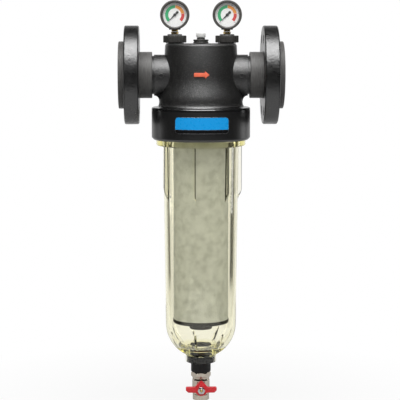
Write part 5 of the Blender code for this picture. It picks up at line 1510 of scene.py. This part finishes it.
def build_valve():
    """Body, screwed end, seats, ball, stem and nuts of the drain valve."""
    add_piece("valve_body_plated", valve_barrel(), "nickel", "valve_body")
    spigot_r = VALVE_CAVITY_R - SHAFT_FIT
    end = lathe([
        (DRAIN_BORE_R, VALVE_Z - SEAT_REACH - SEAT_GAP),
        (spigot_r, VALVE_Z - SEAT_REACH - SEAT_GAP),
        (spigot_r, VALVE_END_TOP_Z),
        (VALVE_END_R, VALVE_END_TOP_Z, 0.0010),
        (VALVE_END_R, VALVE_BOTTOM_Z, 0.0012),
        (VALVE_OUTLET_R, VALVE_BOTTOM_Z, 0.0006),
        (VALVE_OUTLET_R, VALVE_BOTTOM_Z + VALVE_OUTLET_DEPTH),
        (DRAIN_BORE_R, VALVE_BOTTOM_Z + VALVE_OUTLET_DEPTH + 0.0015),
    ], SMALL)
    add_piece("valve_end_plated", end, "nickel", "valve_end")

    ball = arc(0.0, 0.0, BALL_R, 90.0, -90.0, 24)
    ball[0] = (0.0, BALL_R)
    ball[-1] = (0.0, -BALL_R)
    slot = prism(rectangle(-0.02, 0.02, -BALL_SLOT_HALF, BALL_SLOT_HALF),
                 BALL_R - BALL_SLOT_DEPTH, 0.02)
    bored = carved(turned(ball, full_turn(SMALL)),
                   ("DIFFERENCE", laid(rod(DRAIN_BORE_R, -0.02, 0.02), ALONG_X)),
                   ("DIFFERENCE", laid(slot, TO_FRONT)))
    add_piece("valve_ball_polished", bored, "steel", "valve_ball", spot=AT_VALVE)

    gland_low = STEM_BOSS_REACH + SEAT_GAP
    bore_r = STEM_R + SHAFT_FIT
    gland = hex_nut(bore_r, GLAND_HEX_R, gland_low, gland_low + GLAND_HEX_HEIGHT)[:-1]
    gland += [(GLAND_SHANK_R, gland_low), (GLAND_SHANK_R, GLAND_SHANK_START),
              (bore_r, GLAND_SHANK_START)]
    add_facing("gland_nut_hex", turned(gland, full_turn(MEDIUM)), "nickel", "gland_nut", AT_VALVE)
    nut_low = HANDLE_FRONT + SEAT_GAP
    nut = hex_nut(STUD_R + SHAFT_FIT, HANDLE_NUT_R, nut_low, nut_low + HANDLE_NUT_HEIGHT)
    add_facing("handle_nut_hex", turned(nut, full_turn(MEDIUM)), "steel", "handle_nut", AT_VALVE)
    stud_end = HANDLE_FRONT + STUD_LENGTH
    stud = [(0.0, stud_end), (STUD_R - STUD_POINT, stud_end)]
    stud += threaded(STUD_R, STUD_THREAD, HANDLE_FRONT, stud_end - STUD_POINT)
    stud += [(STEM_R, HANDLE_FRONT - 0.0001), (STEM_R, STEM_START), (0.0, STEM_START)]
    waste = []
    for side in (-1.0, 1.0):
        for half, low, high in ((STEM_TONGUE_HALF, 0.0, STEM_TONGUE_END),
                                (STEM_FLATS_HALF, STEM_FLATS_START, HANDLE_FRONT + 0.00005)):
            box = prism(rectangle(-0.01, 0.01, side * half, side * 0.01), low, high)
            waste.append(("DIFFERENCE", box))
    stem = carved(turned(stud, full_turn(FINE)), *waste)
    add_facing("valve_stem_turned", stem, "brass", "valve_stem", AT_VALVE)


def handle_outline():
    """The butterfly handle as (x, z) points: two wings under a peaked hub."""
    half_height = HANDLE_WING_HEIGHT / 2
    right = [
        (0.0, HANDLE_PEAK, 0.0030),
        (HANDLE_NECK_X, HANDLE_NECK_Z),
        (HANDLE_HUB_R, half_height, 0.0020),
        (HANDLE_HALF_SPAN, half_height, HANDLE_ROUND),
        (HANDLE_HALF_SPAN, half_height - HANDLE_WING_HEIGHT + HANDLE_BEVEL, HANDLE_ROUND),
        (HANDLE_HALF_SPAN - HANDLE_BEVEL, -half_height, HANDLE_ROUND),
        (HANDLE_HUB_START, -half_height),
    ]
    hub = [(r, z, 0.0) for r, z in arc(0.0, 0.0, HANDLE_HUB_R, -40.0, -90.0, 6)]
    right += hub
    left = [(-x, z, rest[0] if rest else 0.0) for x, z, *rest in reversed(right[1:-1])]
    return fillet(right + left, 4)


def build_handle():
    """The red butterfly handle with a raised hub round its nut."""
    plate = prism(handle_outline(), HANDLE_BACK, HANDLE_FRONT - HANDLE_RIM, 0.0014, 4)
    root = HANDLE_BACK + OVERLAP
    hub = ring(HANDLE_NUT_R + 0.0006, HANDLE_HUB_R - 0.0012, root, HANDLE_FRONT, SMALL, 0.0008)
    wide = STEM_R + SHAFT_FIT
    hole = prism(rectangle(-wide, wide, -HANDLE_HOLE_HALF, HANDLE_HOLE_HALF),
                 HANDLE_BACK - 0.002, HANDLE_FRONT + 0.002)
    pad = rod(HANDLE_NUT_R + 0.0010, root, HANDLE_FRONT - 0.0001)
    bm = carved(plate, ("UNION", pad), ("UNION", hub), ("DIFFERENCE", hole))
    add_facing("valve_handle_cast", bm, "handle_red", "valve_handle", AT_VALVE)


# Gauges and bleed

def lobed(radius, depth, count):
    """A hand grip's reach by angle: round lobes with hollows between."""
    def reach(angle, _z):
        wave = 0.5 + 0.5 * math.cos(count * angle)
        grip = 0.5 + 0.5 * math.cos(PLUG_GRIPS * angle)
        return radius - depth + 2 * depth * wave ** 0.7 - PLUG_GRIP_DEPTH * grip
    return reach


def build_plug(side, x):
    """The hand plug under a gauge, its seal and the brass gauge stem."""
    at_plug = (x, 0.0, 0.0)
    shank_low = HEAD_TOP_Z - PLUG_SHANK_LENGTH
    bore_r = GAUGE_SHANK_R + SHAFT_FIT
    section = [(bore_r, PLUG_NECK_TOP_Z)]
    section += fillet([
        (PLUG_NECK_R - 0.004, PLUG_NECK_TOP_Z),
        (PLUG_NECK_R, PLUG_NECK_TOP_Z, 0.0010),
        (PLUG_NECK_R, PLUG_TOP_Z, 0.0008),
        (PLUG_R - 0.004, PLUG_TOP_Z),
    ])[1:-1]
    grip = []
    for step in range(6):
        angle = math.radians(90.0 - 90.0 * step / 5)
        inset = PLUG_ROUND * (1 - math.cos(angle))
        grip.append((lobed(PLUG_R - inset, PLUG_LOBE, PLUG_LOBES),
                     PLUG_TOP_Z - PLUG_ROUND * (1 - math.sin(angle))))
    section += grip
    section += [(reach, PLUG_TOP_Z + PLUG_BOTTOM_Z - z) for reach, z in reversed(grip)]
    section.append((PLUG_SHANK_R, PLUG_BOTTOM_Z))
    section += threaded(PLUG_SHANK_R, PLUG_THREAD, shank_low, PLUG_BOTTOM_Z - PLUG_THREAD_START)
    section += [(PLUG_SHANK_R - 0.0010, shank_low - 0.0000001), (bore_r, shank_low)]
    # The plug's finish is lifted to grey, a painted reflection of the front light on its black
    # plastic
    add_piece(side + "_hand_plug", turned(section, full_turn(PLUG_GRIPS * 6)), "plug_black_painted_sheen",
              side + "_gauge_plug", spot=at_plug)
    seal_low = HEAD_TOP_Z + SEAT_GAP
    seal = ring(PLUG_SHANK_R + SHAFT_FIT, PLUG_SEAL_R, seal_low, seal_low + PLUG_SEAL_THICK,
                SMALL, 0.0003)
    add_piece(side + "_plug_washer", seal, "rubber", side + "_plug_seal", spot=at_plug)

    shank_end = STEM_BASE_Z - GAUGE_SHANK_LENGTH
    stem = hex_nut(GAUGE_PORT_R, STEM_HEX_R, STEM_BASE_Z, STEM_TOP_Z)[:-1]
    stem += threaded(GAUGE_SHANK_R, GAUGE_THREAD, shank_end, STEM_BASE_Z - GAUGE_THREAD_START)
    stem.append((GAUGE_PORT_R, shank_end))
    add_piece(side + "_stem_brass", turned(stem, full_turn(MEDIUM)), "brass",
              side + "_gauge_stem", spot=at_plug)


def gauge_cup():
    """The gauge's cup with its bearing post, lug and neck."""
    back = -CASE_BACK
    floor = back + CASE_WALL
    cup = lathe([(0.0, back), (CASE_R, back, 0.0040), (CASE_R, CASE_FRONT), (0.0, CASE_FRONT)],
                MEDIUM, 6)
    half = CASE_LUG_WIDTH / 2
    depth = BEZEL_BACK - SEAT_GAP
    lug_outline = softened(rectangle(-half, half, -depth, depth), CASE_LUG_ROUND)
    lug = laid(prism(lug_outline, -GAUGE_Z, -CASE_LUG_BOTTOM_Z, 0.0008),
               Matrix.Rotation(math.pi, 4, "X"))
    bearing = POST_FRONT - ARBOR_DEPTH - SEAT_GAP
    hollow = turned([
        (0.0, CASE_FRONT + 0.002), (CASE_R - CASE_WALL, CASE_FRONT + 0.002),
        (CASE_R - CASE_WALL, floor), (BEARING_POST_R, floor), (BEARING_POST_R, POST_FRONT),
        (ARBOR_R + SHAFT_FIT, POST_FRONT), (ARBOR_R + SHAFT_FIT, bearing), (0.0, bearing),
    ], full_turn(MEDIUM))
    return carved(laid(cup, TO_FRONT), ("UNION", moved(lug, z=-GAUGE_Z)),
                  ("DIFFERENCE", laid(hollow, TO_FRONT)))


def bezel():
    """The bayonet ring round the lens, with two notches to turn it by."""
    section = fillet([
        (BEZEL_LIP_R, BEZEL_LIP_BACK, 0.0003),
        (BEZEL_LIP_R, BEZEL_FRONT - 0.0010, 0.0005),
        (BEZEL_LIP_R + 0.0016, BEZEL_FRONT, 0.0005),
        (BEZEL_R, BEZEL_FRONT, 0.0014),
        (BEZEL_R, BEZEL_BACK, 0.0004),
        (CASE_R + SHAFT_FIT, BEZEL_BACK),
        (CASE_R + SHAFT_FIT, BEZEL_LIP_BACK),
    ])
    body = turned(section, full_turn(MEDIUM))
    notches = []
    for sign in (-1.0, 1.0):
        outline = rectangle(sign * (BEZEL_LIP_R + BEZEL_NOTCH_START),
                            sign * (BEZEL_LIP_R + BEZEL_NOTCH_END),
                            -BEZEL_NOTCH_HALF, BEZEL_NOTCH_HALF)
        notch = prism(outline, BEZEL_FRONT - BEZEL_NOTCH_DEPTH, BEZEL_FRONT + 0.001)
        notches.append(("DIFFERENCE", notch))
    return carved(body, *notches)


def ring_sector(inner_r, outer_r, start_deg, end_deg, low, high):
    """A slice of a flat ring; angles run clockwise from twelve o'clock."""
    steps = max(2, int(abs(end_deg - start_deg) / 3))
    outline = []
    for radius, share_of in ((outer_r, lambda share: share), (inner_r, lambda share: 1 - share)):
        for step in range(steps + 1):
            share = share_of(step / steps)
            angle = math.radians(start_deg + (end_deg - start_deg) * share)
            outline.append((radius * math.sin(angle), radius * math.cos(angle)))
    return prism(outline, low, high)


def number_shape(text, size, x, y, depth):
    """A plain number, standing upright at a place on the dial."""
    curve = bpy.data.curves.new("number", "FONT")
    curve.body = text
    curve.size = size
    curve.align_x = "CENTER"
    curve.align_y = "CENTER"
    curve.extrude = depth / 2
    bm = taken(in_scene("number", curve))
    bmesh.ops.remove_doubles(bm, verts=bm.verts, dist=1e-7)
    return moved(bm, x=x, y=y)


def build_dial(side, at_gauge):
    """The dial's disc, colour bands, ticks and numbers."""
    node = side + "_gauge_dial"
    disc = ring(ARBOR_R + SHAFT_FIT, CASE_R - CASE_WALL - SHAFT_FIT, DIAL_BACK, DIAL_FRONT)
    add_facing(side + "_dial_disc", disc, "dial", node, at_gauge)
    low = DIAL_FRONT
    high = DIAL_FRONT + INK_THICK
    for colour, start, end in BANDS:
        band = ring_sector(BAND_INNER_R, BAND_OUTER_R, start + 0.6, end - 0.6, low, high)
        add_facing(f"{side}_dial_{colour}", band, "ink_" + colour, node, at_gauge, ())
    ticks = []
    numbers = []
    for step in range(SCALE_STEPS + 1):
        degrees = SCALE_START + SCALE_TURN * step / SCALE_STEPS
        long_one = step % LONG_TICK_EVERY == 0
        reach = TICK_OUTER_R if long_one else TICK_OUTER_R - 0.0005
        width = 0.9 if long_one else 0.5
        ticks.append(ring_sector(TICK_INNER_R, reach, degrees - width, degrees + width, low, high))
        if long_one:
            angle = math.radians(degrees)
            place = (NUMBER_R * math.sin(angle), NUMBER_R * math.cos(angle))
            numbers.append(number_shape(str(step // 2), NUMBER_SIZE, *place, INK_THICK))
    add_facing(side + "_dial_ticks", merged(*ticks), "ink_black", node, at_gauge, ())
    text = moved(merged(*numbers), z=DIAL_FRONT + INK_THICK / 2)
    add_facing(side + "_dial_numbers", text, "ink_black", node, at_gauge, ())


def build_gauge(side, x):
    """One dial gauge, from its cup to its pointer."""
    at_gauge = (x, 0.0, GAUGE_Z)
    add_piece(side + "_gauge_cup", gauge_cup(), "gauge_black", side + "_gauge_case",
              spot=at_gauge)
    neck = rod(CASE_NECK_R, STEM_TOP_Z + SEAT_GAP, CASE_LUG_BOTTOM_Z + OVERLAP, SMALL, 0.0004)
    add_piece(side + "_gauge_neck", neck, "brass", side + "_gauge_case", (), (x, 0.0, 0.0))
    add_facing(side + "_gauge_ring", bezel(), "bezel_grey", side + "_gauge_bezel", at_gauge)
    lens = rod(CASE_R - SHAFT_FIT, LENS_BACK, LENS_FRONT, MEDIUM, 0.0003)
    add_facing(side + "_gauge_window", lens, "lens", side + "_gauge_lens", at_gauge)
    build_dial(side, at_gauge)

    back = DIAL_FRONT + POINTER_LIFT
    front = back + POINTER_THICK
    right = [(0.0, POINTER_TIP, 0.0), (POINTER_HALF, POINTER_HUB_R * 0.9, 0.0)]
    right += [(px, pz, 0.0) for px, pz in arc(0.0, 0.0, POINTER_HUB_R, 55.0, -55.0, 8)]
    right += [(POINTER_HALF, -POINTER_HUB_R * 0.9, 0.0),
              (POINTER_TAIL_HALF, -POINTER_TAIL * 0.62, 0.0006),
              (POINTER_TAIL_HALF, -POINTER_TAIL, 0.0008)]
    left = [(-px, pz, round_r) for px, pz, round_r in reversed(right[1:])]
    needle = prism(fillet(right + left, 4), back, front, 0.00012, 2)
    cap = rod(POINTER_HUB_R * 0.62, back, front + POINTER_CAP, COARSE, 0.0002)
    arbor = rod(ARBOR_R, POST_FRONT - ARBOR_DEPTH, front, 24)
    shape = merged(needle, cap, arbor)
    shape.transform(Matrix.Rotation(math.radians(SCALE_START), 4, "Y") @ TO_FRONT)
    add_piece(side + "_needle_black", shape, "pointer", side + "_pointer", spot=at_gauge)


def knurled(radius):
    """A knob's reach by angle, with fine straight knurls."""
    def reach(angle, _z):
        return radius - KNURL_DEPTH * (0.5 - 0.5 * math.cos(KNURLS * angle))
    return reach


def build_bleed():
    """The air bleed: its seat in the head, a seal and the white knob."""
    base_top = BLEED_BASE_Z + BLEED_BASE_HEIGHT
    middle = BLEED_BASE_Z + BLEED_BASE_HEIGHT / 2
    pocket_r = BLEED_SEAL_R + SHAFT_FIT
    screw_bore_r = BLEED_SCREW_R + SHAFT_FIT
    pocket_z = BLEED_NECK_TOP_Z - BLEED_SEAL_THICK - SEAT_GAP
    shank_low = HEAD_TOP_Z - BLEED_SHANK_LENGTH
    seat = lathe([
        (pocket_r, BLEED_NECK_TOP_Z),
        (BLEED_NECK_R, BLEED_NECK_TOP_Z, 0.0004),
        (BLEED_NECK_R, base_top, 0.0008),
        (BLEED_BASE_R, base_top, 0.0007),
        (BLEED_BASE_R, middle + (BLEED_WAIST_HALF + BLEED_WAIST_SLOPE), 0.0004),
        (BLEED_BASE_R - BLEED_WAIST, middle + BLEED_WAIST_HALF, 0.0003),
        (BLEED_BASE_R - BLEED_WAIST, middle - BLEED_WAIST_HALF, 0.0003),
        (BLEED_BASE_R, middle - (BLEED_WAIST_HALF + BLEED_WAIST_SLOPE), 0.0004),
        (BLEED_BASE_R, BLEED_BASE_Z, 0.0005),
        (BLEED_SHANK_R, BLEED_BASE_Z),
        (BLEED_SHANK_R, shank_low),
        (screw_bore_r, shank_low),
        (screw_bore_r, pocket_z),
        (pocket_r, pocket_z),
    ], SMALL)
    # The seat shares the plug's finish, lifted to grey as a painted reflection
    add_piece("bleed_seat_moulded", seat, "plug_black_painted_sheen", "bleed_seat")
    seal = ring(screw_bore_r, BLEED_SEAL_R, pocket_z + SEAT_GAP, BLEED_NECK_TOP_Z, SMALL, 0.0004)
    add_piece("bleed_washer", seal, "rubber", "bleed_seal")
    top = BLEED_KNOB_Z + BLEED_KNOB_HEIGHT
    grip_low = BLEED_KNOB_Z + 0.0012
    grip_top = top - 0.0014
    knob = [(0.0, top - 0.0006), (BLEED_KNOB_R - 0.0030, top - 0.0006),
            (BLEED_KNOB_R - 0.0022, top), (BLEED_KNOB_R - 0.0010, top),
            (BLEED_KNOB_R - 0.0003, top - 0.0004), (knurled(BLEED_KNOB_R), grip_top),
            (knurled(BLEED_KNOB_R), grip_low), (BLEED_KNOB_R - 0.0005, BLEED_KNOB_Z + 0.0004),
            (BLEED_KNOB_R - 0.0009, BLEED_KNOB_Z), (BLEED_SCREW_R, BLEED_KNOB_Z - 0.00001)]
    screw_low = BLEED_KNOB_Z - BLEED_SCREW_LENGTH
    knob += threaded(BLEED_SCREW_R, BLEED_THREAD, screw_low, BLEED_KNOB_Z - BLEED_THREAD_START)
    knob.append((0.0, screw_low - 0.00001))
    add_piece("bleed_knob_knurled", turned(knob, full_turn(KNURLS * 6)), "knob_white",
              "bleed_knob")


# Finishes of the CAD nodes that stay

def finish_kept_nodes():
    """Give the inner pieces that keep their CAD shape their finish."""
    kept = {
        "support_cage": "white_plastic",
        "upper_ball_seat": "seat_white",
        "lower_ball_seat": "seat_white",
        "stem_packing": "seat_white",
    }
    for name, finish in kept.items():
        mesh = frame["nodes"][name].data
        mesh.materials.clear()
        mesh.materials.append(MATERIALS[finish])


# Light, floor and camera

def background(tree, strength):
    """White light of a fixed or textured strength."""
    return new_node(tree, "Background", Color=(1.0,) * 4, Strength=strength).outputs[0]


def make_world():
    """White where it is seen, with a soft fill, a backdrop and a studio's dark sides."""
    world = bpy.data.worlds.new("studio")
    bpy.context.scene.world = world
    world.use_nodes = True
    tree = world.node_tree
    tree.nodes.remove(tree.nodes["Background"])
    ahead = new_node(tree, "TexCoord").outputs["Generated"]
    x, y, z = new_node(tree, "SeparateXYZ", Vector=ahead).outputs
    mirrored = combined(tree, "MULTIPLY", range_of(tree, y, *MIRROR_BACK, DARK_LEVEL, 1.0),
                        range_of(tree, z, *MIRROR_UP, 1.0, DARK_LEVEL))
    aside = combined(tree, "POWER", x, 2.0)
    beside = combined(tree, "MULTIPLY", range_of(tree, aside, *BESIDE_INNER),
                      range_of(tree, aside, *BESIDE_OUTER, 1.0, 0.0),
                      range_of(tree, y, *BESIDE_BACK), range_of(tree, z, *BESIDE_LOW))
    path = new_node(tree, "LightPath").outputs
    refracted = combined(tree, "MULTIPLY", range_of(tree, beside, 0.0, 1.0, 1.0, BESIDE_LEVEL),
                         range_of(tree, path["Diffuse Depth"], 0.0, 1.0, 1.0, INSIDE_LEVEL))
    by_glass = mixed(tree, path["Is Transmission Ray"], background(tree, WORLD_FILL),
                     background(tree, refracted))
    reflected = combined(tree, "GREATER_THAN", path["Glossy Depth"], 0.5)
    by_gloss = mixed(tree, reflected, by_glass, background(tree, mirrored))
    seen = mixed(tree, path["Is Camera Ray"], by_gloss, background(tree, 1.0))
    tree.links.new(seen, tree.nodes["World Output"].inputs["Surface"])


def make_floor():
    """A plain pale floor that keeps the part's shadow and fades to white around it."""
    bm = bmesh.new()
    bmesh.ops.create_grid(bm, x_segments=1, y_segments=1, size=1.0)
    bmesh.ops.scale(bm, verts=bm.verts, vec=(FLOOR_HALF_WIDTH, FLOOR_HALF_DEPTH, 1.0))
    mesh = mesh_of(moved(bm, y=FLOOR_BACK), "floor")
    floor = in_scene("floor", mesh)
    floor.location.z = cad_box[0].z - FLOOR_DROP
    mat = new_material("floor_white", FLOOR_COLOUR, 0.8, Specular_IOR_Level=0.0)
    tree = mat.node_tree
    distance = new_node(tree, "VectorMath")
    distance.operation = "LENGTH"
    set_inputs(tree, distance, {0: new_node(tree, "TexCoord").outputs["Object"]})
    glow = range_of(tree, distance.outputs["Value"], *FLOOR_FADE, FLOOR_GLOW, 1.0)
    path = new_node(tree, "LightPath").outputs
    gloss = combined(tree, "MULTIPLY", path["Is Glossy Ray"], FLOOR_GLOSS)
    seen = combined(tree, "MAXIMUM", path["Is Camera Ray"], path["Is Transmission Ray"], gloss)
    white = new_node(tree, "Emission")
    surface = mixed(tree, combined(tree, "MULTIPLY", seen, glow),
                    tree.nodes["Principled BSDF"].outputs[0], white.outputs[0])
    tree.links.new(surface, tree.nodes["Material Output"].inputs["Surface"])
    mesh.materials.append(mat)


def make_softbox(name, place, width, height, power):
    """A rectangular softbox aimed at the part."""
    data = bpy.data.lights.new(name, "AREA")
    data.shape = "RECTANGLE"
    data.size = width
    data.size_y = height
    data.energy = power
    lamp = in_scene(name, data)
    lamp.location = place
    aim = Vector(LAMP_TARGET) - Vector(place)
    lamp.rotation_euler = aim.to_track_quat("-Z", "Y").to_euler()
    lamp.visible_camera = False


def make_camera():
    """The photograph's view."""
    data = bpy.data.cameras.new("camera")
    data.lens = CAMERA_LENS
    data.sensor_width = SENSOR_WIDTH
    data.clip_end = 50.0
    camera = in_scene("camera", data)
    camera.location = (CAMERA_DISTANCE * math.sin(CAMERA_AZIMUTH),
                       -CAMERA_DISTANCE * math.cos(CAMERA_AZIMUTH), CAMERA_HEIGHT)
    camera.rotation_euler = (math.radians(90.0) - CAMERA_TILT, 0.0, CAMERA_AZIMUTH + CAMERA_YAW)
    bpy.context.scene.camera = camera


build_head()
build_label()
build_arrow()
build_ports()
build_vanes()
build_element()
build_bowl()
build_bushing()
build_valve()
build_handle()
for gauge_side, gauge_sign, _turn in SIDES:
    build_plug(gauge_side, gauge_sign * GAUGE_X)
    build_gauge(gauge_side, gauge_sign * GAUGE_X)
build_bleed()
finish_kept_nodes()
make_world()
make_floor()
for lamp_settings in LAMPS:
    make_softbox(*lamp_settings)
make_camera()
bpy.context.scene.view_settings.view_transform = "Standard"
